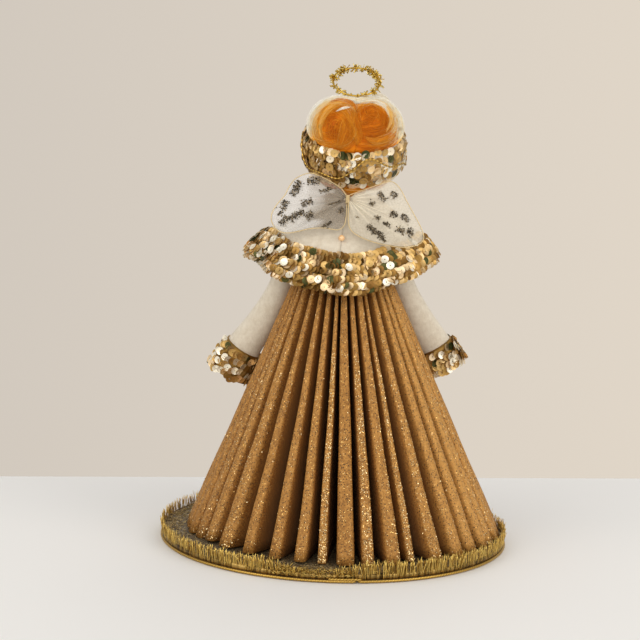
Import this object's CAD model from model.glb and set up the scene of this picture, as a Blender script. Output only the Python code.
# %% [markdown]
# # A glitter cone angel, seen from behind
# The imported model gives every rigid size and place, and this script dresses it: folded gilt paper,
# fringe, felt, sequins, net wings, fibre hair and a tinsel halo. The aim is to make each surface as
# a maker would, piece by piece, so a reader can follow one piece at a time.

import math

import bpy
import numpy as np
from mathutils import Euler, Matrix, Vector


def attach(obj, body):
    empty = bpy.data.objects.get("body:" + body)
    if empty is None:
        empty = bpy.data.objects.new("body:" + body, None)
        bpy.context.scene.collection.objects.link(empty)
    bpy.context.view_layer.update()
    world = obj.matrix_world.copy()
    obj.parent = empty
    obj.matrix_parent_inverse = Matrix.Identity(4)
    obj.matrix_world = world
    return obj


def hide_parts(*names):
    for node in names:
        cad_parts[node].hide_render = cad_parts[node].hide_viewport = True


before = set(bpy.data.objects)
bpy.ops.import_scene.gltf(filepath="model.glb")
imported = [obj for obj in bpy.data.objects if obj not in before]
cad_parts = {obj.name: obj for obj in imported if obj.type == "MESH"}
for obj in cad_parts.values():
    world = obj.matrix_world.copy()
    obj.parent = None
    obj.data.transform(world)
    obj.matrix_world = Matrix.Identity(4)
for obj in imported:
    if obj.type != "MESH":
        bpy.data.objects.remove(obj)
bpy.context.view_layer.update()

# %% [markdown]
# ## The camera
# The camera comes first, because it decides which details pay off. It is a 70 mm lens on a 36 mm
# sensor. Its place was found by matching the base ellipse, the halo and the cuffs to the photograph.

# %% Camera
MM = 0.001
CAMERA_PLACE = (-14.6, -927.4, 236.4)
CAMERA_PITCH_DEGREES = 4.55
CAMERA_ROLL_DEGREES = 1.8

camera_data = bpy.data.cameras.new("photo_camera")
camera_data.lens = 70
camera_data.sensor_width = 36
camera = bpy.data.objects.new("photo_camera", camera_data)
bpy.context.scene.collection.objects.link(camera)
camera.location = [value * MM for value in CAMERA_PLACE]
upright = Euler((math.radians(90 - CAMERA_PITCH_DEGREES), 0, 0)).to_matrix()
rolled = Euler((0, 0, math.radians(CAMERA_ROLL_DEGREES))).to_matrix()
camera.rotation_euler = (upright @ rolled).to_euler()
bpy.context.scene.camera = camera

# %% [markdown]
# ## Shader tools
# Materials and the world are graphs of small nodes. These helpers each add one node, or one common
# pair of nodes, so that a material can be read as a recipe.

# %% Shader tools
def set_inputs(tree, node, inputs):
    """Fills a node's inputs. Each takes a plain value, or a socket to link it to."""
    for key, value in inputs.items():
        if isinstance(value, bpy.types.NodeSocket):
            tree.links.new(value, node.inputs[key])
        else:
            node.inputs[key].default_value = value
    return node


def add(tree, kind, inputs=None, **settings):
    """Adds one shader node with its settings and inputs."""
    node = tree.nodes.new("ShaderNode" + kind)
    for key, value in settings.items():
        setattr(node, key, value)
    return set_inputs(tree, node, inputs or {})


def place_group(tree, group, inputs):
    """Adds a node group, and returns its output sockets."""
    node = tree.nodes.new("ShaderNodeGroup")
    node.node_tree = group
    return set_inputs(tree, node, inputs).outputs


def ranged(tree, value, low, high, to_low=0.0, to_high=1.0):
    """The value moved from one range to another and held inside it."""
    return add(tree, "MapRange", {"Value": value, "From Min": low, "From Max": high, "To Min": to_low,
                                  "To Max": to_high}).outputs["Result"]


def combined(tree, operation, first, second):
    """Two values put together by a sum such as ADD or MULTIPLY."""
    return add(tree, "Math", {0: first, 1: second}, operation=operation).outputs[0]


def blend_colours(tree, factor, low, high):
    """A mix of two colours by a factor."""
    return add(tree, "Mix", {"Factor": factor, "A": low, "B": high}, data_type="RGBA").outputs["Result"]


def noise(tree, scale, detail, **more):
    """Soft random blotches fixed to the object."""
    place = add(tree, "TexCoord").outputs["Object"]
    return add(tree, "TexNoise", {"Vector": place, "Scale": scale, "Detail": detail, **more}).outputs["Fac"]


def point_value(tree, name):
    """A number that the mesh carries on each of its points."""
    return add(tree, "Attribute", attribute_name=name).outputs["Fac"]


def ramp(tree, value, stops):
    """A colour ramp with (position, colour) stops."""
    node = add(tree, "ValToRGB", {"Fac": value})
    bands = node.color_ramp.elements
    while len(bands) < len(stops):
        bands.new(0.5)
    for band, (position, colour) in zip(bands, stops):
        band.position = position
        band.color = colour
    return node.outputs["Color"]


def relief(tree, height, strength, depth):
    """A bumped normal from a height."""
    return add(tree, "Bump", {"Height": height, "Strength": strength, "Distance": depth}).outputs["Normal"]


def new_material(name, **plain):
    """A material with a Principled shader whose plain values are set on its own sockets."""
    material = bpy.data.materials.new(name)
    material.use_nodes = True
    shader = material.node_tree.nodes["Principled BSDF"]
    for key, value in plain.items():
        shader.inputs[key.replace("_", " ")].default_value = value
    return material, material.node_tree, shader


# %% [markdown]
# ## Wall, light and table
# The object stands on a pale table top in front of a warm pale wall that is darker on the left. The
# wall is only the world's colour, so nothing blocks the views from the other side. Metal needs
# something to reflect, so the world darkens toward the ground and has three bright windows. Four
# soft lamps add shape: one on each side, a large one from where the camera stands, and a weak one
# on the far side.

# %% World
WALL_LEFT = (0.645, 0.585, 0.515, 1)
WALL_RIGHT = (0.745, 0.668, 0.572, 1)
WALL_BLEND_HALF = 0.25
SKY_COLOUR = (0.92, 0.90, 0.87, 1)
GROUND_COLOUR = (0.42, 0.37, 0.31, 1)
SKY_STRENGTH = 0.46
HORIZON_HALF = 0.35
# Each window: the way it lies, the cosines where its glow starts and is full, and its strength
WINDOWS = [((-0.80, -0.45, 0.42), 0.80, 0.93, 0.85),
           ((0.75, -0.60, 0.30), 0.72, 0.90, 0.75),
           ((0.0, 1.0, 0.15), 0.0, 0.80, 0.34)]


def window_glow(tree, direction, toward, outer, inner, strength):
    """Extra light from a soft round patch of the room around one direction."""
    near = add(tree, "VectorMath", {0: direction, 1: Vector(toward).normalized()}, operation="DOT_PRODUCT")
    return add(tree, "MapRange", {"Value": near.outputs["Value"], "From Min": outer, "From Max": inner,
                                  "To Max": strength}, interpolation_type="SMOOTHSTEP").outputs["Result"]


world = bpy.data.worlds.new("studio")
bpy.context.scene.world = world
world.use_nodes = True
tree = world.node_tree
direction = add(tree, "TexCoord").outputs["Generated"]
split = add(tree, "SeparateXYZ", {"Vector": direction}).outputs
rise = ranged(tree, split["Z"], -HORIZON_HALF, HORIZON_HALF)
strength = SKY_STRENGTH
for window in WINDOWS:
    strength = combined(tree, "ADD", strength, window_glow(tree, direction, *window))
backdrop = set_inputs(tree, tree.nodes["Background"], {
    "Strength": strength, "Color": blend_colours(tree, rise, GROUND_COLOUR, SKY_COLOUR)})
to_right = ranged(tree, split["X"], -WALL_BLEND_HALF, WALL_BLEND_HALF)
wall = add(tree, "Background", {"Color": blend_colours(tree, to_right, WALL_LEFT, WALL_RIGHT),
                                "Strength": 1.0})
seen = add(tree, "LightPath").outputs["Is Camera Ray"]
chosen = add(tree, "MixShader", {"Fac": seen, 1: backdrop.outputs["Background"],
                                 2: wall.outputs["Background"]})
tree.links.new(chosen.outputs["Shader"], tree.nodes["World Output"].inputs["Surface"])
bpy.context.scene.view_settings.view_transform = "Standard"

# %% Lamps
FIGURE_MIDDLE = Vector((0, 0, 0.17))


def soft_lamp(name, place, size, power, colour):
    """A square area lamp that looks at the middle of the figure. Place and size are in metres."""
    data = bpy.data.lights.new(name, "AREA")
    data.size = size
    data.energy = power
    data.color = colour
    lamp = bpy.data.objects.new(name, data)
    bpy.context.scene.collection.objects.link(lamp)
    lamp.location = place
    lamp.rotation_euler = (lamp.location - FIGURE_MIDDLE).to_track_quat("Z", "Y").to_euler()


soft_lamp("left_lamp", (-1.25, -1.15, 1.0), 0.9, 5.5, (1.0, 0.97, 0.92))
soft_lamp("right_lamp", (1.35, -1.0, 0.85), 0.9, 6.5, (1.0, 0.96, 0.90))
soft_lamp("front_lamp", (-0.3, -3.2, 1.2), 1.8, 24, (1.0, 0.96, 0.90))
soft_lamp("back_lamp", (0.4, 1.4, 1.3), 0.9, 2.5, (1.0, 0.95, 0.88))

# %% Table top
TABLE_HALF_WIDTH, TABLE_NEAR = 2.0, -2.5
TABLE_BACK = 0.21
TABLE_SLANT = 0.136
TABLE_COLOUR = (0.89, 0.885, 0.875, 1)

table_mesh = bpy.data.meshes.new("table_top")
table_corners = [(-TABLE_HALF_WIDTH, TABLE_NEAR, 0), (TABLE_HALF_WIDTH, TABLE_NEAR, 0),
                 (TABLE_HALF_WIDTH, TABLE_BACK + TABLE_HALF_WIDTH * TABLE_SLANT, 0),
                 (-TABLE_HALF_WIDTH, TABLE_BACK - TABLE_HALF_WIDTH * TABLE_SLANT, 0)]
table_mesh.from_pydata(table_corners, [], [(0, 1, 2, 3)])
table_mesh.materials.append(new_material("table_top", Base_Color=TABLE_COLOUR, Roughness=0.75)[0])
table = bpy.data.objects.new("table_top", table_mesh)
bpy.context.scene.collection.objects.link(table)

# %% [markdown]
# ## Small mesh tools
# Every new surface is worked out with numpy as whole arrays and then handed to Blender in one go.
# Lengths in the script are millimetres, and the mesh tool turns them into metres. A shape is a pair:
# its points, and a list of face arrays.

# %% Mesh tools
def mix(low, high, share):
    """From low at share 0 to high at share 1."""
    return low + (high - low) * share


def unit(vectors):
    """The same ways with length 1."""
    return vectors / np.maximum(np.linalg.norm(vectors, axis=-1, keepdims=True), 1e-9)


def full_turn(count):
    """Even angles once round."""
    return 2 * np.pi * np.arange(count) / count


def around(radius, angle, height):
    """Points at a radius and an angle about the upright axis."""
    return np.stack(np.broadcast_arrays(radius * np.cos(angle), radius * np.sin(angle), height), -1)


def grid_quads(rows, columns, wrap_rows=False, wrap_columns=False):
    """Four corner numbers for each cell of a rows by columns grid of points."""
    i = np.arange(rows if wrap_rows else rows - 1)[:, None]
    j = np.arange(columns if wrap_columns else columns - 1)[None, :]
    k, l = (i + 1) % rows, (j + 1) % columns
    quads = [i * columns + j, i * columns + l, k * columns + l, k * columns + j]
    return np.stack(quads, -1).reshape(-1, 4)


def tube_faces(rows, columns):
    """Walls between rings of points, with a cap on the first ring and on the last."""
    low = np.arange(columns)[None, ::-1]
    high = np.arange(columns)[None] + (rows - 1) * columns
    return [grid_quads(rows, columns, wrap_columns=True), low, high]


def closed_rings(rings):
    """A shape whose rings of points join round in both ways."""
    faces = grid_quads(*rings.shape[:2], wrap_rows=True, wrap_columns=True)
    return rings.reshape(-1, 3), [faces]


def folded_strip(count):
    """Cells between the first count points of a loop and the rest, which run back under them."""
    pair = np.arange(count - 1)
    return np.stack([pair, 2 * count - 1 - pair, 2 * count - 2 - pair, pair + 1], -1)


def inside_out(points, faces):
    """True where a closed shape's faces point inward: its signed volume is negative."""
    total = 0.0
    for face in faces:
        first = points[face[:, 0]]
        for k in range(1, face.shape[1] - 1):
            total += (first * np.cross(points[face[:, k]], points[face[:, k + 1]])).sum()
    return total < 0


def make_piece(name, shape, material, body, slot, *nodes, smooth=True, **values):
    """A visible piece. It rides on a body, takes a slot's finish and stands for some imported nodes.
    values are point values that the material reads by name."""
    points, faces = np.asarray(shape[0], float), shape[1]
    if inside_out(points - points.mean(0), faces):
        faces = [face[:, ::-1] for face in faces]
    mesh = bpy.data.meshes.new(name)
    corners = np.concatenate([face.ravel() for face in faces]).astype(np.int32)
    counts = np.concatenate([np.full(len(face), face.shape[1]) for face in faces])
    starts = np.concatenate([[0], np.cumsum(counts)[:-1]]).astype(np.int32)
    mesh.vertices.add(len(points))
    mesh.vertices.foreach_set("co", (points * MM).astype(np.float32).ravel())
    mesh.loops.add(len(corners))
    mesh.loops.foreach_set("vertex_index", corners)
    mesh.polygons.add(len(counts))
    mesh.polygons.foreach_set("loop_start", starts)
    mesh.polygons.foreach_set("use_smooth", np.full(len(counts), smooth))
    mesh.update(calc_edges=True)
    for key, numbers in values.items():
        mesh.attributes.new(key, "FLOAT", "POINT")
        mesh.attributes[key].data.foreach_set("value", np.asarray(numbers, np.float32).ravel())
    piece = bpy.data.objects.new(name, mesh)
    bpy.context.scene.collection.objects.link(piece)
    mesh.materials.append(material)
    print(f"{name}: {int((counts - 2).sum())} triangles")
    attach(piece, body)
    if nodes:
        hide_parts(*nodes)
    return piece


def joined(parts):
    """Several shapes as one, with the corner numbers moved along."""
    points, faces, start = [], {}, 0
    for part_points, part_faces in parts:
        points.append(part_points)
        for face in part_faces:
            faces.setdefault(face.shape[1], []).append(face + start)
        start += len(part_points)
    return np.concatenate(points), [np.concatenate(group) for group in faces.values()]


# %% Bars along many paths at once
def bars(paths, widths, sides=3, squeeze=1.0, up=None):
    """Closed bars along n paths of k points each. Ring corner = path point + width * (cos t * across
    + squeeze * sin t * lift), where across is the tangent crossed with up. widths has a radius for
    each path point, or one share profile for all."""
    paths = np.asarray(paths, float)
    count, steps = paths.shape[:2]
    tangent = unit(np.gradient(paths, axis=1))
    if up is None:
        helper = np.where(np.abs(tangent[:, :1, 2:]) > 0.8, [[[1.0, 0, 0]]], [[[0, 0, 1.0]]])
    else:
        helper = np.broadcast_to(np.asarray(up, float).reshape(-1, 1, 3), (count, 1, 3))
    across = unit(np.cross(tangent, np.broadcast_to(helper, paths.shape)))
    lift = np.cross(across, tangent)
    turn = full_turn(sides)
    widths = np.broadcast_to(widths, (count, steps))[:, :, None, None]
    ring = np.cos(turn)[:, None] * across[:, :, None] + squeeze * np.sin(turn)[:, None] * lift[:, :, None]
    points = (paths[:, :, None] + widths * ring).reshape(-1, 3)
    start = np.arange(count)[:, None, None] * steps * sides
    return points, [(face[None] + start).reshape(-1, face.shape[1]) for face in tube_faces(steps, sides)]


def copies(shape, faces, places, axes):
    """Copies of a small shape: point = place + shape point turned into the copy's three axes."""
    points = places[:, None] + np.einsum("vk,nkj->nvj", shape, axes)
    start = (np.arange(len(places)) * len(shape))[:, None, None]
    return points.reshape(-1, 3), [(face[None] + start).reshape(-1, face.shape[1]) for face in faces]


def axes_about(normals, along):
    """Three axes for each copy: along (made square to the normal), its partner, and the normal."""
    normals = unit(normals)
    first = unit(along - normals * (along * normals).sum(-1, keepdims=True))
    return np.stack([first, np.cross(normals, first), normals], 1)


def surface_normal(surface, u, v, step=1e-3):
    """The cross product of the surface's two slopes, by small differences."""
    along_u = surface(u + step, v) - surface(u - step, v)
    along_v = surface(u, v + step) - surface(u, v - step)
    return unit(np.cross(along_u, along_v))


def tipped(normals, amount, rng):
    """Normals tipped at random, by about amount radians."""
    return unit(normals + rng.normal(0, amount, normals.shape))


# %% [markdown]
# ## Shared surface effects
# Three effects come back on many pieces: a soft mottling between two colours, small scattered
# specks, and the tangle of fibres. Each is built once as a node group and placed in the materials.

# %% Node groups
def node_group(name, inputs, outputs):
    """A new shader group with named sockets, its input sockets and its output node."""
    group = bpy.data.node_groups.new(name, "ShaderNodeTree")
    for label, kind, value in inputs:
        socket = group.interface.new_socket(label, in_out="INPUT", socket_type="NodeSocket" + kind)
        socket.default_value = value
    for label, kind in outputs:
        group.interface.new_socket(label, in_out="OUTPUT", socket_type="NodeSocket" + kind)
    return group, group.nodes.new("NodeGroupInput").outputs, group.nodes.new("NodeGroupOutput")


def make_mottle():
    """Mixes two colours by a coarse noise with a finer one on top."""
    group, given, end = node_group(
        "mottle",
        [("Scale", "Float", 100.0), ("Low", "Color", (0, 0, 0, 1)), ("High", "Color", (1, 1, 1, 1))],
        [("Colour", "Color")])
    spread = ranged(group, noise(group, given["Scale"], 5.0, Roughness=0.65), 0.33, 0.67)
    set_inputs(group, end, {"Colour": blend_colours(group, spread, given["Low"], given["High"])})
    return group


def make_specks():
    """Scattered dots: a cell holds a dot where its own random number is under Amount."""
    group, given, end = node_group(
        "specks", [("Scale", "Float", 900.0), ("Amount", "Float", 0.2), ("Size", "Float", 0.4)],
        [("Mask", "Float")])
    place = add(group, "TexCoord").outputs["Object"]
    cells = add(group, "TexVoronoi", {"Vector": place, "Scale": given["Scale"]}).outputs
    number = add(group, "SeparateColor", {"Color": cells["Color"]}).outputs["Red"]
    held = combined(group, "LESS_THAN", number, given["Amount"])
    near = combined(group, "LESS_THAN", cells["Distance"], given["Size"])
    set_inputs(group, end, {"Mask": combined(group, "MULTIPLY", held, near)})
    return group


def make_fibres():
    """Matted fibres: two noises stretched along different ways, as a height and a normal."""
    group, given, end = node_group(
        "fibres", [("Scale", "Float", 700.0), ("Strength", "Float", 0.5)],
        [("Height", "Float"), ("Normal", "Vector")])
    place = add(group, "TexCoord").outputs["Object"]
    layers = []
    for turn, stretch in ((0.6, (1.0, 0.18, 0.5)), (2.1, (0.25, 1.0, 0.3))):
        turned = add(group, "Mapping", {"Vector": place, "Rotation": (turn, turn * 0.7, turn),
                                        "Scale": stretch}).outputs["Vector"]
        layers.append(add(group, "TexNoise", {"Vector": turned, "Scale": given["Scale"],
                                              "Detail": 3.0}).outputs["Fac"])
    height = combined(group, "ADD", *layers)
    set_inputs(group, end, {"Height": height, "Normal": relief(group, height, given["Strength"], 0.0006)})
    return group


MOTTLE, SPECKS, FIBRES = make_mottle(), make_specks(), make_fibres()


# %% Common materials
def grained(name, low, high, scale, **plain):
    """A mottled material between two colours."""
    material, tree, shader = new_material(name, **plain)
    mottle = place_group(tree, MOTTLE, {"Scale": scale, "Low": low, "High": high})
    tree.links.new(mottle["Colour"], shader.inputs["Base Color"])
    return material


def tinted(name, low, high, roughness, **plain):
    """Metal whose colour runs between two colours by a number on each flake or thread."""
    material, tree, shader = new_material(name, **{"Metallic": 1.0, "Roughness": roughness, **plain})
    colour = blend_colours(tree, point_value(tree, "tint"), low, high)
    tree.links.new(colour, shader.inputs["Base Color"])
    return material


def plain_finish(material, *nodes):
    """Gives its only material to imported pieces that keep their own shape."""
    for node in nodes:
        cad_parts[node].data.materials.clear()
        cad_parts[node].data.materials.append(material)


# %% [markdown]
# ## The skirt: folded leaves
# The skirt is one magazine. Each leaf is folded to a soft U that is narrow at the spine and wide at
# the foot, and three leaves share a strip of the spine. A leaf is a surface of two parameters, u
# round its fold and share from foot to waist, and its wall is the same surface once more inside it.

# %% Skirt sizes
SKIRT_FOOT_Z = 6.5
SKIRT_TOP_Z = 192.5
SKIRT_FOOT_RADIUS = 118.3
SKIRT_WAIST_RADIUS = 37.0
SKIRT_FOOT_CENTRE = np.array([7.6, 3.0])
SKIRT_WAIST_CENTRE = np.array([2.0, 0.0])
SPINE_RADIUS = 14.0
SPINE_THICKNESS = 1.5
SPINE_GAP_RADIANS = 0.014
LEAF_WALL = 0.6
NOSE_DEPTH_SHARE = 0.55
NOSE_OUT_POWER, NOSE_ACROSS_POWER = 0.6, 0.8
ROOT_SHARE = 0.6
LEAVES_PER_SECTION = 3
BACK_EDGES_DEGREES = [-88.5, -82.5, -76, -69, -61.9, -54, -42.9, -30.4, -20.3, -11.8, -4.4, 4.1,
                      12.2, 21.2, 27, 40, 47.6, 57.8, 64.2, 71.4, 77.5, 83.5, 89.5]
BACK_WIDTH_SHARES = [0.82, 0.84, 0.84, 0.8, 0.7, 0.6, 0.36, 0.42, 0.5, 0.42, 0.72,
                     0.53, 0.58, 0.56, 0.37, 0.7, 0.58, 0.74, 0.8, 0.84, 0.84, 0.84]
BACK_REACH_SHARES = [1, 0.995, 1, 0.985, 0.98, 0.975, 0.97, 0.97, 0.965, 0.955, 0.97,
                     0.965, 0.975, 0.94, 0.975, 0.985, 0.98, 0.99, 0.985, 0.995, 1, 1]
FRONT_LEAF_COUNT = 23
FRONT_WIDTH_SHARE = 0.74
# The leaves on the right of the back carry more gilt than the rest
GILT_MOST, GILT_MIDDLE_DEGREES, GILT_HALF_DEGREES, GILT_CHANCE = 0.62, 60, 27, 0.14
# Leaves with thick glitter, with a bright line along one edge, and with some more than most
FLAKY_LEAVES = [9, 11, 13]
EDGE_LEAVES = [12, 14, 15, 16, 17]
SIDE_LEAVES = [3, 4, 5, 14, 18, 19]

front_edges = np.linspace(BACK_EDGES_DEGREES[-1], BACK_EDGES_DEGREES[0] + 360, FRONT_LEAF_COUNT + 1)
leaf_edges = np.radians(np.concatenate([BACK_EDGES_DEGREES, front_edges[1:]]))
leaf_count = len(leaf_edges) - 1
leaf_middle = (leaf_edges[1:] + leaf_edges[:-1]) / 2
leaf_pitch = np.diff(leaf_edges)
leaf_width = np.array(BACK_WIDTH_SHARES + [FRONT_WIDTH_SHARE] * FRONT_LEAF_COUNT)
leaf_reach = np.array(BACK_REACH_SHARES + [1.0] * FRONT_LEAF_COUNT)
print("Leaves:", leaf_count)

leaf_rng = np.random.default_rng(11)
leaf_phase = leaf_rng.uniform(0, 2 * np.pi, (leaf_count, 4))
leaf_lift = leaf_rng.uniform(0, 1.6, leaf_count)
from_gilt = (leaf_middle - math.radians(GILT_MIDDLE_DEGREES)) / math.radians(GILT_HALF_DEGREES)
leaf_gilt = GILT_MOST * np.exp(-from_gilt ** 2) + leaf_rng.uniform(0, GILT_CHANCE, leaf_count)


# %% The leaf surface
def skirt_centre(share):
    """The middle of the skirt at a share of its height."""
    return mix(SKIRT_FOOT_CENTRE, SKIRT_WAIST_CENTRE, share)


def leaf_surface(leaf, u, share, inside=0.0):
    """A point of a folded leaf. u runs from -1 (root) over -0.5..0.5 (half an ellipse round the
    nose) to 1 (root), share from foot 0 to waist 1, and inside moves it into the fold. Two slow
    sine waves keep the fold from being ruler straight."""
    centre = skirt_centre(share[..., None])
    reach = mix(SKIRT_FOOT_RADIUS, SKIRT_WAIST_RADIUS, share) * leaf_reach[leaf]
    nose_half = leaf_pitch[leaf] * reach * leaf_width[leaf] / 2
    root_half = leaf_pitch[leaf] * SPINE_RADIUS * ROOT_SHARE / 2
    nose_depth = nose_half * 2 * NOSE_DEPTH_SHARE
    shoulder = reach - nose_depth
    turn = np.clip(u, -0.5, 0.5) * np.pi
    back = np.clip((np.abs(u) - 0.5) * 2, 0, 1)
    # A slightly squared nose: the sine and cosine are raised to powers under one
    round_out = np.cos(turn) ** NOSE_OUT_POWER
    round_across = np.sign(turn) * np.abs(np.sin(turn)) ** NOSE_ACROSS_POWER
    out = (shoulder + (nose_depth - inside) * round_out) * (1 - back) + SPINE_RADIUS * back
    half = np.maximum(nose_half * (1 - back) + root_half * back - inside, 0.04)
    across = np.where(back > 0, np.sign(u), round_across) * half
    phase = leaf_phase[leaf]
    weight = (out / SKIRT_FOOT_RADIUS) * (1 - back)
    across = across + weight * (0.5 * np.sin(5.0 * share + phase[..., 0])
                                + 0.22 * np.sin(13.0 * share + phase[..., 1]))
    out = out + weight * (0.55 * np.sin(4.1 * share + phase[..., 2])
                          + 0.25 * np.sin(17.0 * share + phase[..., 3]))
    angle = leaf_middle[leaf]
    x = centre[..., 0] + np.sin(angle) * out + np.cos(angle) * across
    y = centre[..., 1] - np.cos(angle) * out + np.sin(angle) * across
    foot = SKIRT_FOOT_Z + leaf_lift[leaf] * (1 - back)
    return np.stack([x, y, mix(foot, SKIRT_TOP_Z, share)], -1)


# %% One section of leaves
NOSE_STEPS = 14
SIDE_STEPS = 5
LEAF_ROWS = 26
SPINE_STEPS = 7
SPINE_VALUES = [1.0, 0, 0.5, 0]

side_u = np.linspace(0.5, 1.0, SIDE_STEPS + 1)[1:]
fold_u = np.concatenate([-side_u[::-1], np.linspace(-0.5, 0.5, NOSE_STEPS + 1), side_u])


def leaf_mesh(leaf):
    """The outer fold and the inner fold as one closed loop of points at each height."""
    u = np.concatenate([fold_u, fold_u[::-1]])
    inside = np.concatenate([np.zeros(len(fold_u)), np.full(len(fold_u), LEAF_WALL)])
    rows, columns = np.meshgrid(np.linspace(0, 1, LEAF_ROWS), np.arange(len(u)), indexing="ij")
    points = leaf_surface(np.full(rows.shape, leaf), u[columns], rows, inside[columns])
    walls = grid_quads(LEAF_ROWS, len(u), wrap_columns=True)
    rim = folded_strip(len(fold_u))
    top = rim[:, ::-1] + (LEAF_ROWS - 1) * len(u)
    radius = mix(SKIRT_FOOT_RADIUS, SKIRT_WAIST_RADIUS, rows) * leaf_reach[leaf]
    depth = (np.abs(u[columns]).clip(0.5, 1) * 2 - 1) * (radius - SPINE_RADIUS)
    values = np.stack([depth, u[columns].clip(-0.5, 0.5) * 2, np.full(rows.shape, leaf_gilt[leaf]),
                       inside[columns] > 0], -1)
    return (points.reshape(-1, 3), [walls, rim, top]), values.reshape(-1, len(SPINE_VALUES))


def spine_mesh(first, last):
    """The strip of spine behind a run of leaves: an arc with thickness, straight up the skirt."""
    angle = np.linspace(leaf_edges[first] + SPINE_GAP_RADIANS, leaf_edges[last] - SPINE_GAP_RADIANS,
                        SPINE_STEPS)
    loop = np.concatenate([angle, angle[::-1]])
    radius = np.repeat([SPINE_RADIUS - SPINE_THICKNESS, SPINE_RADIUS], SPINE_STEPS)
    rings = [around(radius, loop - np.pi / 2, z) + [*skirt_centre(share), 0]
             for share, z in ((0.0, SKIRT_FOOT_Z), (1.0, SKIRT_TOP_Z))]
    walls = grid_quads(2, len(loop), wrap_columns=True)
    low = folded_strip(SPINE_STEPS)
    shape = np.concatenate(rings), [walls, low, low[:, ::-1] + len(loop)]
    return shape, np.tile(SPINE_VALUES, (2 * len(loop), 1))


# %% [markdown]
# The finish is sprayed paint on paper. Only the folds that face outward caught the spray, so the
# colour falls from ochre at the nose through burnt orange to bare dark paper in the gaps. A point
# value written on the mesh says how deep in the fold each point lies, and the material reads it.

# %% Gilt paper
PAINT_OCHRE = (0.46, 0.215, 0.046, 1)
PAINT_BROWN = (0.265, 0.112, 0.020, 1)
PAINT_ORANGE = (0.27, 0.095, 0.016, 1)
PAINT_LIGHT = (0.66, 0.34, 0.085, 1)
PAINT_DULL = (0.19, 0.082, 0.018, 1)
PAPER_BROWN = (0.27, 0.118, 0.032, 1)
PAPER_DARK = (0.22, 0.110, 0.045, 1)
SPECK_DARK = (0.070, 0.038, 0.017, 1)
SPECK_GOLD = (0.95, 0.66, 0.24, 1)
PAINT_REACH = 6.5
DARK_REACH = 16.0


def make_gilt_paper():
    """Mottled ochre, orange where the fold turns in, dusted with lighter and duller paint, and then
    brown to dark with its depth in millimetres. Fine dark specks lie everywhere, and a few metal
    ones on the painted part."""
    material, tree, shader = new_material("gilt_paper", Specular_IOR_Level=0.3)
    mottle = place_group(tree, MOTTLE, {"Scale": 330.0, "Low": PAINT_BROWN, "High": PAINT_OCHRE})
    depth, side, inner = [point_value(tree, name) for name in ("depth", "side", "inner")]
    burnt = ranged(tree, combined(tree, "MULTIPLY", side, side), 0.45, 1.0)
    dust = noise(tree, 620.0, 4.0, Roughness=0.75)
    dark = place_group(tree, SPECKS, {"Scale": 900.0, "Amount": 0.38, "Size": 0.36})["Mask"]
    near = ranged(tree, depth, 0.0, PAINT_REACH)
    hidden = combined(tree, "MAXIMUM", ranged(tree, depth, PAINT_REACH, DARK_REACH), inner)
    shine = place_group(tree, SPECKS, {"Scale": 1300.0, "Amount": 0.05, "Size": 0.34})["Mask"]
    bare = combined(tree, "SUBTRACT", 1.0, combined(tree, "MAXIMUM", near, inner))
    glint = combined(tree, "MULTIPLY", shine, bare)
    colour = mottle["Colour"]
    for share, coat in ((burnt, PAINT_ORANGE), (point_value(tree, "gilt"), PAINT_LIGHT),
                        (ranged(tree, dust, 0.50, 0.68, to_high=0.65), PAINT_LIGHT),
                        (ranged(tree, dust, 0.50, 0.34, to_high=0.55), PAINT_DULL),
                        (dark, SPECK_DARK), (near, PAPER_BROWN), (hidden, PAPER_DARK),
                        (glint, SPECK_GOLD)):
        colour = blend_colours(tree, share, colour, coat)
    height = combined(tree, "ADD", noise(tree, 1300.0, 3.0), dark)
    set_inputs(tree, shader, {
        "Base Color": colour, "Metallic": ranged(tree, glint, 0.0, 1.0, 0.05, 1.0),
        "Roughness": ranged(tree, glint, 0.0, 1.0, 0.62, 0.25), "Normal": relief(tree, height, 0.5, 0.0004)})
    return material


gilt_paper = make_gilt_paper()
LEAF_VALUES = ("depth", "side", "gilt", "inner")

for section in range(math.ceil(leaf_count / LEAVES_PER_SECTION)):
    run = range(section * LEAVES_PER_SECTION, min((section + 1) * LEAVES_PER_SECTION, leaf_count))
    parts = [leaf_mesh(leaf) for leaf in run] + [spine_mesh(run[0], run[-1] + 1)]
    values = np.concatenate([part[1] for part in parts])
    number = f"{section + 1:02d}"
    make_piece("gilt_leaves_" + number, joined([part[0] for part in parts]), gilt_paper, "figure",
               "gilt_paper", "skirt_section_" + number, **dict(zip(LEAF_VALUES, values.T)))

# %% [markdown]
# Loose glitter is real geometry: thousands of tiny square flakes lie on the folds, each tipped a
# little, so every view catches other flakes. More of them sit low on the skirt, a few folds are
# thick with them, and some folds have a line of them along one edge.

# %% Glitter flakes
FLAKE_SQUARE = np.array([[-0.5, -0.5, 0], [0.5, -0.5, 0], [0.5, 0.5, 0], [-0.5, 0.5, 0]])
FLAKE_FACES = [np.array([[0, 1, 2, 3]])]
FLAKE_TILT = 0.4
FLAKE_LIFT = 0.1
# Each group: its leaves, how many flakes, how far up they reach, where they lie across the fold and
# how far they spread there, and their size
FRONT_FLAKY_LEAVES = np.arange(len(BACK_WIDTH_SHARES) + 2, leaf_count, 5)
FLAKE_GROUPS = [(leaf_count, 9000, 1.0, 0.0, 0.30, 0.46), (FLAKY_LEAVES, 2000, 0.75, 0.08, 0.2, 0.68),
                (EDGE_LEAVES, 2200, 0.9, 0.3, 0.09, 0.6), (SIDE_LEAVES, 1800, 0.8, 0.0, 0.25, 0.66),
                (leaf_count, 2600, 0.9, 0.46, 0.05, 0.6), (FRONT_FLAKY_LEAVES, 2600, 0.9, 0.0, 0.2, 0.62)]


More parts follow.
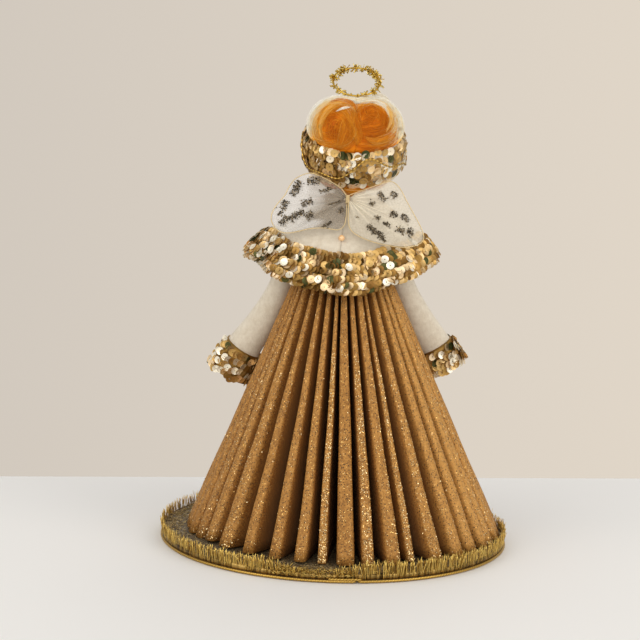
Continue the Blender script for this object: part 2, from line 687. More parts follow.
def flakes(places, normals, sizes, tilt, rng):
    """Square flakes on a surface: a random tip, a random turn and a size for each."""
    frames = axes_about(tipped(normals, tilt, rng), rng.normal(0, 1, places.shape))
    return copies(FLAKE_SQUARE, FLAKE_FACES, places, frames * sizes[:, None, None])


gold_flake = tinted("gold_flake", (0.74, 0.42, 0.11, 1), (1.0, 0.84, 0.50, 1), 0.30)
flake_rng = np.random.default_rng(23)


def strewn(leaves, count, low_share, across, spread, size):
    """Flakes on some leaves. Their shares crowd toward the foot by a power, and u is a bell."""
    leaf = flake_rng.choice(leaves, count)
    share = low_share * flake_rng.uniform(0, 1, count) ** 1.5 * 0.985 + 0.005
    u = np.clip(flake_rng.normal(across, spread, count), -0.5, 0.5)
    return leaf, share, u, flake_rng.uniform(0.6, 1.0, count) * size


groups = [strewn(*group) for group in FLAKE_GROUPS]
flake_leaf, flake_share, flake_u, flake_size = [np.concatenate(part) for part in zip(*groups)]
places = leaf_surface(flake_leaf, flake_u, flake_share)
normals = surface_normal(lambda u, v: leaf_surface(flake_leaf, u, v), flake_u, flake_share)
outward = places[:, :2] - SKIRT_FOOT_CENTRE
normals = normals * np.sign((normals[:, :2] * outward).sum(-1))[:, None]
shape = flakes(places + normals * FLAKE_LIFT, normals, flake_size, FLAKE_TILT, flake_rng)
make_piece("skirt_glitter", shape, gold_flake, "figure", "gilt_paper", smooth=False,
           tint=np.repeat(flake_rng.uniform(0, 1, len(places)), 4))

# %% [markdown]
# ## The base
# A round board is covered with a looped metallic cloth, and its underside with thin felt. Round the
# rim runs a fringe: a woven band whose metallic threads stand up for about a centimetre. Under it
# lies a thin twisted cord whose ends overlap at the back.

# %% Base sizes
BOARD_RADIUS = 127.0
BACKING_RADIUS, BACKING_TOP_Z = 124.0, 1.0
CLOTH_BOTTOM_Z, CLOTH_TOP_Z = 5.2, 6.2
CLOTH_ROUNDING = 0.5
RIM_STEPS = 240


def turned_shape(profile, steps=RIM_STEPS, ripple=None):
    """A closed profile of (radius, height) pairs turned about the upright axis. ripple moves points
    up by a function of their place."""
    profile = np.asarray(profile, float)
    rings = around(profile[:, 0], full_turn(steps)[:, None], profile[:, 1])
    if ripple is not None:
        rings[..., 2] += ripple(rings[..., 0], rings[..., 1])
    return closed_rings(rings)


def disc_profile(radius, bottom, top, rings, round_off):
    """Up the rim of a disc and back to its middle, above and below, with a rounded edge."""
    out = np.linspace(0.02, 1, rings) * (radius - round_off)
    turn = np.linspace(-np.pi / 2, np.pi / 2, 5)
    rim = np.stack([radius - round_off + np.cos(turn) * round_off,
                    (top + bottom) / 2 + np.sin(turn) * (top - bottom) / 2], -1)
    below = np.stack([out[:-1], np.full(rings - 1, bottom)], -1)
    above = np.stack([out[:-1][::-1], np.full(rings - 1, top)], -1)
    return np.concatenate([below, rim, above])


# %% Felt backing, board and looped cloth
def make_felt(name, light, shade, scale, strength):
    """Matted felt: two close colours, fibre relief and a soft sheen."""
    material, tree, shader = new_material(name, Roughness=0.95, Specular_IOR_Level=0.2,
                                          Sheen_Weight=0.35, Sheen_Roughness=0.6)
    mottle = place_group(tree, MOTTLE, {"Scale": 260.0, "Low": shade, "High": light})
    fibres = place_group(tree, FIBRES, {"Scale": scale, "Strength": strength})
    lift = ranged(tree, fibres["Height"], 0.7, 1.3, to_high=0.35)
    set_inputs(tree, shader, {"Base Color": blend_colours(tree, lift, mottle["Colour"], light),
                              "Normal": fibres["Normal"]})
    return material


def make_lurex():
    """Looped cloth with metallic thread: swirls of warm grey and gold, partly metal."""
    material, tree, shader = new_material("lurex_cloth", Roughness=0.5)
    swirl = noise(tree, 330.0, 2.0, Distortion=3.5)
    colour = ramp(tree, swirl, [(0.34, (0.018, 0.012, 0.006, 1)), (0.47, (0.10, 0.066, 0.028, 1)),
                                (0.56, (0.30, 0.23, 0.13, 1)), (0.70, (0.52, 0.43, 0.28, 1))])
    set_inputs(tree, shader, {"Base Color": colour, "Metallic": ranged(tree, swirl, 0.45, 0.6, to_high=0.75),
                              "Normal": relief(tree, swirl, 0.9, 0.001)})
    return material


def cloth_ripple(x, y):
    """Two crossed waves that wander."""
    return 0.16 * np.sin(x * 0.9 + 2 * np.sin(y * 0.35)) * np.sin(y * 0.8 + 1.3 * np.sin(x * 0.5))


dark_felt = make_felt("dark_felt", (0.05, 0.034, 0.02, 1), (0.028, 0.018, 0.01, 1), 900.0, 0.6)
shape = turned_shape(disc_profile(BACKING_RADIUS, 0.0, BACKING_TOP_Z, 6, 0.4))
make_piece("backing_felt", shape, dark_felt, "figure", "dark_felt", "base_backing")
board_card = grained("board_card", (0.16, 0.11, 0.06, 1), (0.30, 0.21, 0.12, 1), 300.0, Roughness=0.85)
plain_finish(board_card, "base_board")

profile = disc_profile(BOARD_RADIUS - CLOTH_ROUNDING, CLOTH_BOTTOM_Z, CLOTH_TOP_Z, 40, CLOTH_ROUNDING)
cloth = make_piece("looped_cloth", turned_shape(profile, ripple=cloth_ripple), make_lurex(), "figure",
                   "lurex_cloth", "base_cloth")

# %% Thread loops on the cloth
LOOP_COUNT = 3000
LOOP_STEPS = 9
LOOP_REACH, LOOP_SPREAD = 1.1, 9
LOOP_INNER_RADIUS = SKIRT_FOOT_RADIUS - 12
THREAD_RADIUS = 0.16
thread_material = tinted("metal_thread", (0.16, 0.10, 0.035, 1), (0.86, 0.66, 0.32, 1), 0.34)
loop_rng = np.random.default_rng(5)


def curled_threads(places, reach, rng, steps=LOOP_STEPS, rise=0.7):
    """Open curls of thread: each is part of a circle that leans, with its middle lifted."""
    count = len(places)
    start = rng.uniform(0, 2 * np.pi, count)[:, None]
    sweep = rng.uniform(2.2, 5.2, count)[:, None] * rng.choice([-1, 1], count)[:, None]
    t = np.linspace(0, 1, steps)[None]
    turn = start + sweep * t
    size = rng.uniform(0.6, 1.4, count)[:, None] * reach
    stretch = rng.uniform(0.5, 1.0, count)[:, None]
    heading = rng.uniform(0, 2 * np.pi, count)[:, None]
    along, across = np.cos(turn) * size, np.sin(turn) * size * stretch
    x = along * np.cos(heading) - across * np.sin(heading)
    y = along * np.sin(heading) + across * np.cos(heading)
    z = np.sin(np.pi * t) * rise * rng.uniform(0.3, 1.2, count)[:, None]
    return places[:, None] + np.stack([x, y, z], -1)


angle = loop_rng.uniform(0, 2 * np.pi, LOOP_COUNT)
radius = BOARD_RADIUS - 1.5 - np.abs(loop_rng.normal(0, LOOP_SPREAD, LOOP_COUNT))
places = around(radius, angle, CLOTH_TOP_Z + 0.1)
places = places[np.linalg.norm(places[:, :2] - SKIRT_FOOT_CENTRE, axis=-1) > LOOP_INNER_RADIUS]
shape = bars(curled_threads(places, LOOP_REACH, loop_rng), THREAD_RADIUS)
make_piece("cloth_loops", shape, thread_material, "figure", "lurex_cloth",
           tint=np.repeat(loop_rng.uniform(0, 1, len(places)), LOOP_STEPS * 3))

# %% Fringe band and threads
FRINGE_BOTTOM_Z = 2.7
FRINGE_BAND_TOP_Z = 6.3
FRINGE_INNER, FRINGE_OUTER = 127.3, 128.25
BAND_STEPS = 720
FRINGE_COUNT = 2300
FRINGE_LENGTH = 9.2
FRINGE_RADII = [0.27, 0.30, 0.30, 0.28, 0.22]
WORN_MIDDLE = math.radians(-96)
WORN_HALF = math.radians(13)

band_material = tinted("fringe_band", (0.05, 0.028, 0.008, 1), (0.55, 0.36, 0.11, 1), 0.42)
fringe_material = tinted("fringe_thread", (0.27, 0.135, 0.020, 1), (1.0, 0.73, 0.21, 1), 0.34)
fringe_rng = np.random.default_rng(31)
profile = [(FRINGE_INNER, FRINGE_BOTTOM_Z), (FRINGE_OUTER, FRINGE_BOTTOM_Z), (FRINGE_OUTER + 0.2, 4.5),
           (FRINGE_OUTER, FRINGE_BAND_TOP_Z), (FRINGE_INNER, FRINGE_BAND_TOP_Z)]
make_piece("fringe_band", turned_shape(profile, BAND_STEPS), band_material, "figure", "gold_fringe",
           "base_fringe", tint=np.repeat(fringe_rng.uniform(0, 1, BAND_STEPS) ** 1.5, len(profile)))


def worn_share(angle):
    """1 in the middle of the worn stretch, 0 away from it."""
    off = np.abs((angle - WORN_MIDDLE + np.pi) % (2 * np.pi) - np.pi)
    return np.clip(1.15 - off / WORN_HALF, 0, 1)


def fringe_threads(count, rng):
    """Threads rise from the band, lean a little in or out and bend over at the tip."""
    angle = rng.uniform(0, 2 * np.pi, count)
    angle = angle[rng.uniform(0, 1, count) > worn_share(angle) * 0.85]
    count = len(angle)
    length = rng.normal(FRINGE_LENGTH, 1.2, count) * (1 - 0.45 * worn_share(angle))
    t = np.linspace(0, 1, len(FRINGE_RADII))[None]
    outward = rng.normal(0.3, 0.45, count)[:, None]
    bend = rng.normal(0.1, 0.6, count)[:, None]
    sway = rng.normal(0, 0.7, count)[:, None] + rng.normal(0, 0.8, count)[:, None] * t
    start = rng.uniform(FRINGE_INNER + 0.2, FRINGE_OUTER + 0.35, count)[:, None]
    z = rng.uniform(3.0, 4.6, count)[:, None] + length[:, None] * t
    return around(start + outward * t + bend * t ** 2, angle[:, None] + sway * t / FRINGE_OUTER, z)


paths = fringe_threads(FRINGE_COUNT, fringe_rng)
shape = bars(paths, FRINGE_RADII, sides=4, squeeze=0.45, up=unit(paths[:, 0] * [1, 1, 0]))
tint = np.repeat(fringe_rng.beta(0.85, 0.70, len(paths)), len(FRINGE_RADII) * 4)
make_piece("fringe_threads", shape, fringe_material, "figure", "gold_fringe", tint=tint)

# %% Frayed threads where the fringe is worn
FRAY_COUNT = 260
FRAY_STEPS = 12
FRAY_REACH, FRAY_RISE = 1.7, 2.2
angle = WORN_MIDDLE + fringe_rng.normal(0, WORN_HALF * 0.75, FRAY_COUNT)
radius = fringe_rng.uniform(126.5, 129.2, FRAY_COUNT)
places = around(radius, angle, fringe_rng.uniform(3.5, 8.0, FRAY_COUNT))
curls = curled_threads(places, FRAY_REACH, fringe_rng, steps=FRAY_STEPS, rise=FRAY_RISE)
make_piece("fringe_frays", bars(curls, THREAD_RADIUS), fringe_material, "figure", "gold_fringe",
           tint=np.repeat(fringe_rng.uniform(0, 1, FRAY_COUNT), FRAY_STEPS * 3))

# %% [markdown]
# The cord is two plies twisted together. The twist is a shape: its section is an oval, and the oval
# turns as it goes round, so the outline shows the plies from any side.

# %% Twisted cord
CORD_RADIUS = 1.0
CORD_RING_RADIUS = 128.3
CORD_Z = 1.4
CORD_SIDES = 8
CORD_STEPS, CORD_TWISTS = 900, 170
CORD_JOINT = -np.pi / 2 + 0.12
TAIL_RADIUS = 0.85
TAIL_STEPS, TAIL_TWISTS = 60, 5


def twisted_cord(name, ring_radius, low, high, z, thick, steps, twists, *nodes):
    """Section radius = thick * (1 + 0.16 cos 2(turn - twist)), carried round an arc."""
    share = np.linspace(0, 1, steps)
    turn = full_turn(CORD_SIDES)
    ply = np.cos(2 * (turn[None] - 2 * np.pi * twists * share[:, None]))
    end = np.clip(np.minimum(share, 1 - share) * steps / 3 + 0.25, 0, 1)[:, None]
    section = thick * (1 + 0.16 * ply) * end
    points = around(ring_radius + section * np.cos(turn), mix(low, high, share)[:, None],
                    z + section * np.sin(turn))
    make_piece(name, (points.reshape(-1, 3), tube_faces(steps, CORD_SIDES)), cord_material, "figure",
               "gold_cord", *nodes, tint=0.5 + 0.5 * ply.ravel())


cord_material = tinted("gold_cord", (0.26, 0.145, 0.025, 1), (0.80, 0.52, 0.13, 1), 0.38)
twisted_cord("rim_cord", CORD_RING_RADIUS, CORD_JOINT, CORD_JOINT + 2 * np.pi - 0.006, CORD_Z,
             CORD_RADIUS, CORD_STEPS, CORD_TWISTS, "base_cord")
twisted_cord("rim_cord_overlap", CORD_RING_RADIUS + 0.9, CORD_JOINT - 0.15, CORD_JOINT + 0.02,
             CORD_Z + 1.6, TAIL_RADIUS, TAIL_STEPS, TAIL_TWISTS)

# %% [markdown]
# ## The felt cape
# The cape is a wide collar of stiff felt, open in a slit down the back and closed by a pearl. It is
# a cut sheet that keeps its own shape, so it is a formula rather than a cloth simulation: a cone
# that bends downward, with a wavy hem, and the same surface once more at the felt's thickness.

# %% Cape sizes
GAP = 0.3
NECK_RADIUS = 11.5
NECK_X = 5.0
CAPE_THICKNESS = 1.6
CAPE_TOP_Z = 256.0
CAPE_HEM_X = -0.6
CAPE_SIDE_REACH, CAPE_BACK_REACH = 67.5, 54.0
CAPE_SIDE_DROP, CAPE_BACK_DROP = 44.0, 68.0
CAPE_WAVE_DEPTH = 2.2
CAPE_WAVES = 9
CAPE_SLIT = math.radians(-3.0)
CAPE_SLIT_WIDTH = 0.12


def cape_middle(turn, share):
    """turn runs from the back towards +X. An ellipse grows from the neck to the hem, drops by
    share to the power 1.5, and waves nine times round."""
    wave = np.cos(turn * CAPE_WAVES) * CAPE_WAVE_DEPTH * share ** 2
    reach_x = mix(NECK_RADIUS + GAP, CAPE_SIDE_REACH + wave, share)
    reach_y = mix(NECK_RADIUS + GAP, CAPE_BACK_REACH + wave, share)
    drop = mix(CAPE_BACK_DROP, CAPE_SIDE_DROP, np.sin(turn) ** 2) * share ** 1.5
    x = mix(NECK_X, CAPE_HEM_X, share) + reach_x * np.sin(turn)
    return np.stack([x, -reach_y * np.cos(turn), CAPE_TOP_Z - drop], -1)


def cape_surface(turn, share, outside):
    """A point outside the cape's inner face, with shallow lumps as cut felt has."""
    normal = -surface_normal(cape_middle, turn, np.maximum(share, 0.01))
    lump = 0.45 * np.sin(turn * 5 + 3 * share) * np.sin(share * 7 + turn) * share
    return cape_middle(turn, share) + normal * (outside + lump)[..., None]


def thick_sheet(outer, inner):
    """A closed solid between two grids of points of the same shape."""
    rows, columns = outer.shape[:2]
    count = rows * columns
    quads = grid_quads(rows, columns)
    number = np.arange(count).reshape(rows, columns)
    edge = np.concatenate([number[0], number[1:, -1], number[-1, -2::-1], number[-2:0:-1, 0]])
    after = np.roll(edge, -1)
    rim = np.stack([after, edge, edge + count, after + count], -1)
    return np.concatenate([outer.reshape(-1, 3), inner.reshape(-1, 3)]), [quads, quads[:, ::-1] + count, rim]


def cape_sheet(from_share, to_share, rows, columns, outside, inside):
    """The cape, or a ring of it, between two heights over its inner face."""
    share = np.linspace(from_share, to_share, rows)[:, None]
    half_gap = CAPE_SLIT_WIDTH / mix(NECK_RADIUS, CAPE_BACK_REACH, share) / 2
    turn = CAPE_SLIT + mix(half_gap, 2 * np.pi - half_gap, np.linspace(0, 1, columns)[None])
    share = np.broadcast_to(share, turn.shape)
    return thick_sheet(*[cape_surface(turn, share, height) for height in (outside, inside)])


# %% Cape, bodice and neck
FELT_IVORY = (0.74, 0.67, 0.55, 1)
FELT_SHADE = (0.60, 0.52, 0.40, 1)
BODY_BOTTOM_Z = 192.8
BODY_HEIGHT = 58.0
BODY_RADIUS = 28.5
BODY_X = 0.5
BODY_PROFILE = [(1, 0), (0.99, 0.12), (0.965, 0.28), (0.87, 0.5), (0.67, 0.74), (0.52, 0.9), (0.42, 1)]
BODICE_TOP_SHARE = 0.74
BODICE_THICKNESS = 1.2
NECK_BOTTOM_Z, NECK_TOP_Z = 251.1, 261.5
NECK_ROUNDING = 0.8
POST_RADIUS = 4.0
CAPE_ROWS, CAPE_COLUMNS = 30, 240
BODICE_ROWS, BODICE_SIDES = 16, 96
NECK_ROWS, NECK_SIDES = 9, 64

ivory_felt = make_felt("ivory_felt", FELT_IVORY, FELT_SHADE, 1100.0, 0.35)
shape = cape_sheet(0, 1, CAPE_ROWS, CAPE_COLUMNS, CAPE_THICKNESS, 0.0)
make_piece("felt_cape", shape, ivory_felt, "figure", "felt", "cape")

heights = np.linspace(0, BODICE_TOP_SHARE, BODICE_ROWS)
body_radii, body_heights = np.transpose(BODY_PROFILE)
radii = np.interp(heights, body_heights, body_radii) * BODY_RADIUS
wrapped = np.stack([radii + GAP, BODY_BOTTOM_Z + heights * BODY_HEIGHT], -1)
points, faces = turned_shape(np.concatenate([wrapped + [BODICE_THICKNESS, 0], wrapped[::-1]]), BODICE_SIDES)
make_piece("felt_bodice", (points + [BODY_X, 0, 0], faces), ivory_felt, "figure", "felt", "bodice")

neck_round = NECK_RADIUS - NECK_ROUNDING + NECK_ROUNDING * np.sin(np.linspace(0, np.pi, NECK_ROWS)) ** 0.5
neck_side = np.stack([neck_round, np.linspace(NECK_BOTTOM_Z, NECK_TOP_Z, NECK_ROWS)], -1)
neck_hole = [(POST_RADIUS + GAP, NECK_TOP_Z), (POST_RADIUS + GAP, NECK_BOTTOM_Z)]
points, faces = turned_shape(np.concatenate([neck_side, neck_hole]), NECK_SIDES)
make_piece("felt_neck", (points + [NECK_X, 0, 0], faces), ivory_felt, "figure", "felt", "neck")

# %% [markdown]
# ## Sequins
# A sequin is a thin cupped disc with a hole. Real trim is sewn as strings, each disc lying on the
# one before it, so rows of crescents show. The small disc is made once and copied along rows with
# its own tip, turn and tint, and the strings wander a little. Single pale and dark discs that catch
# the eye lie open on top, each at its own place.

# %% The sequin and its material
SEQUIN_SIDES = 10
SEQUIN_RADII = (0.42, 1.7, 3.0)
SEQUIN_RISES = (0.0, 0.03, 0.34)
SEQUIN_THICKNESS = 0.09
SEQUIN_SPACING = 3.0
SEQUIN_TILT = 0.38
# The lowest tints are the dark olive discs. They keep their tint where a style shifts the others
OLIVE_TINTS, GOLD_TINTS = 0.05, 0.06
SEQUIN_STOPS = [(0.0, (0.045, 0.055, 0.012, 1)), (0.04, (0.09, 0.085, 0.02, 1)),
                (0.06, (0.24, 0.115, 0.020, 1)), (0.30, (0.45, 0.255, 0.060, 1)),
                (0.60, (0.66, 0.43, 0.15, 1)), (0.82, (0.88, 0.65, 0.37, 1)), (0.92, (0.97, 0.90, 0.73, 1))]


def sequin_shape():
    """Rings of the cup's upper face, then its lower rim and hole, closed into one thin body."""
    upper = list(zip(SEQUIN_RADII, SEQUIN_RISES))
    lower = [(radius, rise - SEQUIN_THICKNESS) for radius, rise in (upper[-1], upper[0])]
    return closed_rings(np.stack([around(radius, full_turn(SEQUIN_SIDES), rise)
                                  for radius, rise in upper + lower]))


def by_point(name, value, stops, **plain):
    """A material whose colour is read from a ramp by a point value."""
    material, tree, shader = new_material(name, **plain)
    tree.links.new(ramp(tree, point_value(tree, value), stops), shader.inputs["Base Color"])
    return material


sequin_gold = by_point("sequin_gold", "tint", SEQUIN_STOPS, Metallic=0.74, Roughness=0.42,
                       Coat_Weight=0.10, Coat_Roughness=0.12)
SEQUIN, SEQUIN_FACES = sequin_shape()


def even_turns(surface, share, spacing_at, low, high, samples=900):
    """Turns along one row of a surface. The distance from one to the next is spacing_at(turn)."""
    turn = np.linspace(low, high, samples)
    path = surface(turn, share + 0 * turn, 0 * turn)
    steps = np.linalg.norm(np.diff(path, axis=0), axis=-1) / spacing_at((turn[1:] + turn[:-1]) / 2)
    walked = np.concatenate([[0], np.cumsum(steps)])
    count = max(int(walked[-1]), 1)
    return np.interp((np.arange(count) + 0.5) / count * walked[-1], walked, turn)


def sequin_string(surface, share, rng, style, base, wander, low=0.0, high=2 * np.pi):
    """Places, axes and tints for one string. Each disc is tipped up along the row, so that it lies
    on the disc before it. style gives the spacing, the tilt and the shift of the tint at a turn."""
    turn = even_turns(surface, share, lambda way: style(way)[0], low, high)
    count = len(turn)
    tilt, shift = style(turn)[1:]
    row = share + wander * np.sin(turn * 7 + rng.uniform(0, 6)) + rng.normal(0, wander * 0.35, count)
    lift = base + rng.uniform(0, 1.3, count)
    place = surface(turn, row, lift)
    along = unit(surface(turn + 1e-3, row, lift) - surface(turn - 1e-3, row, lift))
    normal = unit(surface(turn, row, lift + 1) - place)
    tilt = (tilt + rng.normal(0, 0.20, count))[:, None]
    leaned = tipped(unit(normal * np.cos(tilt) - along * np.sin(tilt)), 0.12, rng)
    frames = axes_about(leaned, along) * rng.uniform(0.94, 1.06, count)[:, None, None]
    tint = rng.uniform(0, 1, count)
    return place, frames, np.where(tint < OLIVE_TINTS, tint, np.clip(tint + shift, GOLD_TINTS, 1))


def placed_sequins(surface, spots, reach, rng, middle=0.0, lift=2.0):
    """Single discs that lie open on top of a trim. Each spot is millimetres to the right, a share
    down or up the trim, and a tint."""
    right, share, tint = np.array(spots, float).T
    turn = np.arcsin(np.clip((right - middle) / reach, -0.97, 0.97))
    place = surface(turn, share, lift + 0 * turn)
    along = unit(surface(turn + 1e-3, share, lift + 0 * turn) - place)
    normal = tipped(unit(surface(turn, share, lift + 1 + 0 * turn) - place), 0.16, rng)
    return place, axes_about(normal, along), tint


def sequin_piece(name, strings, body, *nodes):
    """All strings of one trim as one mesh."""
    place, frames, tint = [np.concatenate(part) for part in zip(*strings)]
    make_piece(name, copies(SEQUIN, SEQUIN_FACES, place, frames), sequin_gold, body, "sequin", *nodes,
               smooth=False, tint=np.repeat(tint, len(SEQUIN)))


# %% Sequin trim of the cape
TRIM_START_SHARE, TRIM_END_SHARE = 0.74, 1.03
TRIM_ROWS = 7
TRIM_BASE = CAPE_THICKNESS + GAP
BACKING_THICKNESS = 0.5
TRIM_HANG_FROM = 0.8
TRIM_HANG = 8.5
# Toward the shoulders the discs lie flatter and paler, the left ones first, then the right ones
CAPE_FLATTER = 0.26, 0.14
CAPE_PALER = 0.48, 0.12
CAPE_DULLER = 0.16
CAPE_SPOTS = [(-58, 0.2, 1.0), (-47, 0.25, 0.97), (-53, 0.5, 1.0), (-42, 0.6, 0.94), (-27, 0.06, 0.02),
              (-26, 0.85, 0.03), (-16, 0.72, 1.0), (-22, 0.76, 0.8), (-10, 0.35, 0.045), (-5, 0.24, 0.01),
              (-11, 0.9, 0.82), (-6.5, 0.95, 0.84), (-1.5, 0.92, 0.98), (3.5, 0.36, 1.0), (14, 0.62, 0.84),
              (13, 0.84, 0.9), (20, 0.3, 0.6), (33, 0.3, 1.0), (35.5, 0.5, 0.98), (46.5, 0.75, 1.0),
              (47, 0.52, 0.97), (32, 0.9, 0.96), (36.5, 0.95, 1.0), (58, 0.2, 1.0), (61, 0.6, 0.7)]
trim_backing = tinted("trim_backing", (0.36, 0.21, 0.055, 1), (0.36, 0.21, 0.055, 1), 0.5)
cape_rng = np.random.default_rng(3)

shape = cape_sheet(TRIM_START_SHARE, TRIM_END_SHARE - 0.02, 8, 200, TRIM_BASE + BACKING_THICKNESS, TRIM_BASE)
make_piece("cape_trim_backing", shape, trim_backing, "figure", "sequin")


def trim_surface(turn, across, outside):
    """across runs from the trim's upper edge to its lower one. The rows crowd into a rounded ridge,
    and past the hem they hang straight down, which shows most at the shoulders."""
    at_side = np.sin(turn) ** 2
    on_felt = np.minimum(across / TRIM_HANG_FROM, 1)
    share = mix(TRIM_START_SHARE + 0.012, TRIM_END_SHARE - 0.05, on_felt)
    ridge = mix(0.9, 2.4, at_side) * np.sin(np.pi * np.clip(across, 0.02, 0.98)) ** 0.8
    place = cape_surface(turn, share, TRIM_BASE + 0.4 + ridge + outside)
    below = np.maximum(across - TRIM_HANG_FROM, 0) / (1 - TRIM_HANG_FROM)
    place[..., 2] -= below * mix(0.5, 0.7, at_side) * TRIM_HANG
    return place


def cape_style(turn):
    """At the right of the back the discs are wider apart. Toward the shoulders they lie flatter and
    are paler, most on the left."""
    right = np.sin(turn) * (np.cos(turn) > -0.2)
    flatter = np.where(right < 0, *CAPE_FLATTER) * np.abs(right)
    paler = np.where(right < 0, *CAPE_PALER) * right ** 2
    return SEQUIN_SPACING + 0.5 * right, SEQUIN_TILT - flatter, paler - CAPE_DULLER


strings = [sequin_string(trim_surface, across, cape_rng, cape_style, 0.2, 0.03, CAPE_SLIT - 0.01,
                         CAPE_SLIT + 2 * np.pi + 0.01)
           for across in mix(0.04, 0.97, np.arange(TRIM_ROWS) / (TRIM_ROWS - 1))]
strings.append(placed_sequins(trim_surface, CAPE_SPOTS, CAPE_SIDE_REACH, cape_rng, CAPE_HEM_X))
sequin_piece("cape_sequins", strings, "figure", "cape_sequin_trim")

# %% Pearl
PEARL_RADIUS = 2.3
PEARL_X = -0.8
PEARL_SHARE = 0.62
PEARL_ROWS, PEARL_COLUMNS = 20, 32


def ball_grid(rows, columns):
    """Directions over a sphere, from pole to pole."""
    rise = np.linspace(0.02, np.pi - 0.02, rows)[:, None]
    return around(np.sin(rise), full_turn(columns)[None], np.cos(rise))


pearl_material = grained("pearl", (0.80, 0.42, 0.16, 1), (0.92, 0.62, 0.32, 1), 500.0, Roughness=0.28,
                         Coat_Weight=0.9, Coat_Roughness=0.12, Specular_IOR_Level=0.7)
pearl_off = PEARL_X - mix(NECK_X, CAPE_HEM_X, PEARL_SHARE)
pearl_turn = np.arcsin([pearl_off / mix(NECK_RADIUS, CAPE_SIDE_REACH, PEARL_SHARE)])
pearl_place = cape_surface(pearl_turn, np.array([PEARL_SHARE]), TRIM_BASE + PEARL_RADIUS)
points = pearl_place + ball_grid(PEARL_ROWS, PEARL_COLUMNS).reshape(-1, 3) * PEARL_RADIUS
make_piece("pearl", (points, tube_faces(PEARL_ROWS, PEARL_COLUMNS)), pearl_material, "figure", "pearl",
           "pearl_button")

# %% [markdown]
# ## Sleeves and cuffs
# Each sleeve is a felt tube that widens to the wrist and hangs on a wire. The route and the widths
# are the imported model's, smoothed by a spline, with slow dents so the felt doesn't look turned on a
# lathe. The cuff is four strings of sequins on a strip.

# %% Sleeve sizes
SHOULDER_HALF_SPAN = 34.0
SHOULDER_FORWARD = 6.2
SHOULDER_Z = 221.0
SLEEVE_FORWARD = 25.0
SLEEVE_WALL = 1.5
WRIST_HALF_WIDTH, WRIST_HALF_DEPTH = 16.5, 11.0
CUFF_LENGTH = 17.0
CUFF_ROWS = 4
CUFF_PALER = 0.26
SLEEVE_RINGS, CUFF_RINGS, SLEEVE_SIDES = 60, 7, 64
OPEN_RINGS = 4
SMALL_STEP = 1e-3
# Shares of the way out, forward and down, then of the wrist's width and depth
LEFT_SLEEVE = dict(side=-1, drop=104.0, clearance=23.2, shares=[
    [0.1, 0, -0.105, 0.2, 0.28], [0.1, 0, -0.085, 0.4, 0.55], [0.1, 0, -0.04, 0.5, 0.7],
    [0.1, 0.03, 0.03, 0.53, 0.73], [0.12, 0.12, 0.14, 0.54, 0.73], [0.24, 0.36, 0.355, 0.56, 0.75],
    [0.5, 0.62, 0.6, 0.7, 0.82], [0.79, 0.82, 0.81, 0.84, 0.92], [1, 1, 1, 1, 1]])
RIGHT_SLEEVE = dict(side=1, drop=94.0, clearance=20.3, shares=[
    [0.1, 0, -0.11, 0.2, 0.28], [0.1, 0, -0.09, 0.4, 0.55], [0.1, 0, -0.045, 0.5, 0.7],
    [0.1, 0.03, 0.03, 0.53, 0.73], [0.13, 0.15, 0.13, 0.54, 0.73], [0.3, 0.48, 0.37, 0.56, 0.74],
    [0.56, 0.74, 0.62, 0.66, 0.8], [0.84, 0.9, 0.85, 0.78, 0.9], [1, 1.04, 1, 0.9, 1]])


def smooth_path(points, t):
    """A Catmull-Rom spline through rows of numbers, at shares t of its way."""
    points = np.asarray(points, float)
    last = len(points) - 1
    place = np.clip(t, 0, 1) * last
    i = np.minimum(place.astype(int), last - 1)
    f = (place - i)[..., None]
    padded = np.concatenate([[2 * points[0] - points[1]], points, [2 * points[-1] - points[-2]]])
    a, b, c, d = padded[i], padded[i + 1], padded[i + 2], padded[i + 3]
    return 0.5 * (2 * b + (c - a) * f + (2 * a - 5 * b + 4 * c - d) * f ** 2
                  + (3 * b - a - 3 * c + d) * f ** 3)


def path_heading(points, t):
    """The way along the spline at shares t, by a small difference."""
    t = np.clip(t, SMALL_STEP, 1 - SMALL_STEP)
    return unit(smooth_path(points, t + SMALL_STEP) - smooth_path(points, t - SMALL_STEP))


def path_length(rows):
    """The length of the straight steps from centre to centre."""
    return np.linalg.norm(np.diff(rows[:, :3], axis=0), axis=-1).sum()


def sleeve_rows(side, drop, clearance, shares):
    """Centre, half width and half depth of each row in millimetres. The wrist hangs clear of the
    skirt's cone by its clearance."""
    share = (SHOULDER_Z - drop - SKIRT_FOOT_Z) / (SKIRT_TOP_Z - SKIRT_FOOT_Z)
    centre = skirt_centre(share)
    radius = mix(SKIRT_FOOT_RADIUS, SKIRT_WAIST_RADIUS, share) + clearance
    forward = SHOULDER_FORWARD + SLEEVE_FORWARD - centre[1]
    out = math.sqrt(radius ** 2 - forward ** 2) + side * centre[0] - SHOULDER_HALF_SPAN
    start = [side * SHOULDER_HALF_SPAN, SHOULDER_FORWARD, SHOULDER_Z, 0, 0]
    return start + np.array(shares) * [side * out, SLEEVE_FORWARD, -drop, WRIST_HALF_WIDTH, WRIST_HALF_DEPTH]


def sleeve_surface(rows, phase, turn, t, outside):
    """A point round the sleeve: an ellipse across the route, dented by slow waves."""
    here = smooth_path(rows, t)
    tangent = path_heading(rows[:, :3], t)
    beyond = np.maximum(t - 1, 0)[..., None] * path_length(rows)
    forward = unit([0.0, 1.0, 0.0] - tangent * tangent[..., 1:2])
    across = np.cross(forward, tangent)
    dent = 1 + t * (0.028 * np.sin(2 * turn + 5 * t + phase) + 0.02 * np.sin(3 * turn - 8 * t + phase))
    width = (here[..., 3] * dent + outside)[..., None]
    depth = (here[..., 4] * dent + outside)[..., None]
    return (here[..., :3] + tangent * beyond + across * width * np.cos(turn)[..., None]
            + forward * depth * np.sin(turn)[..., None])


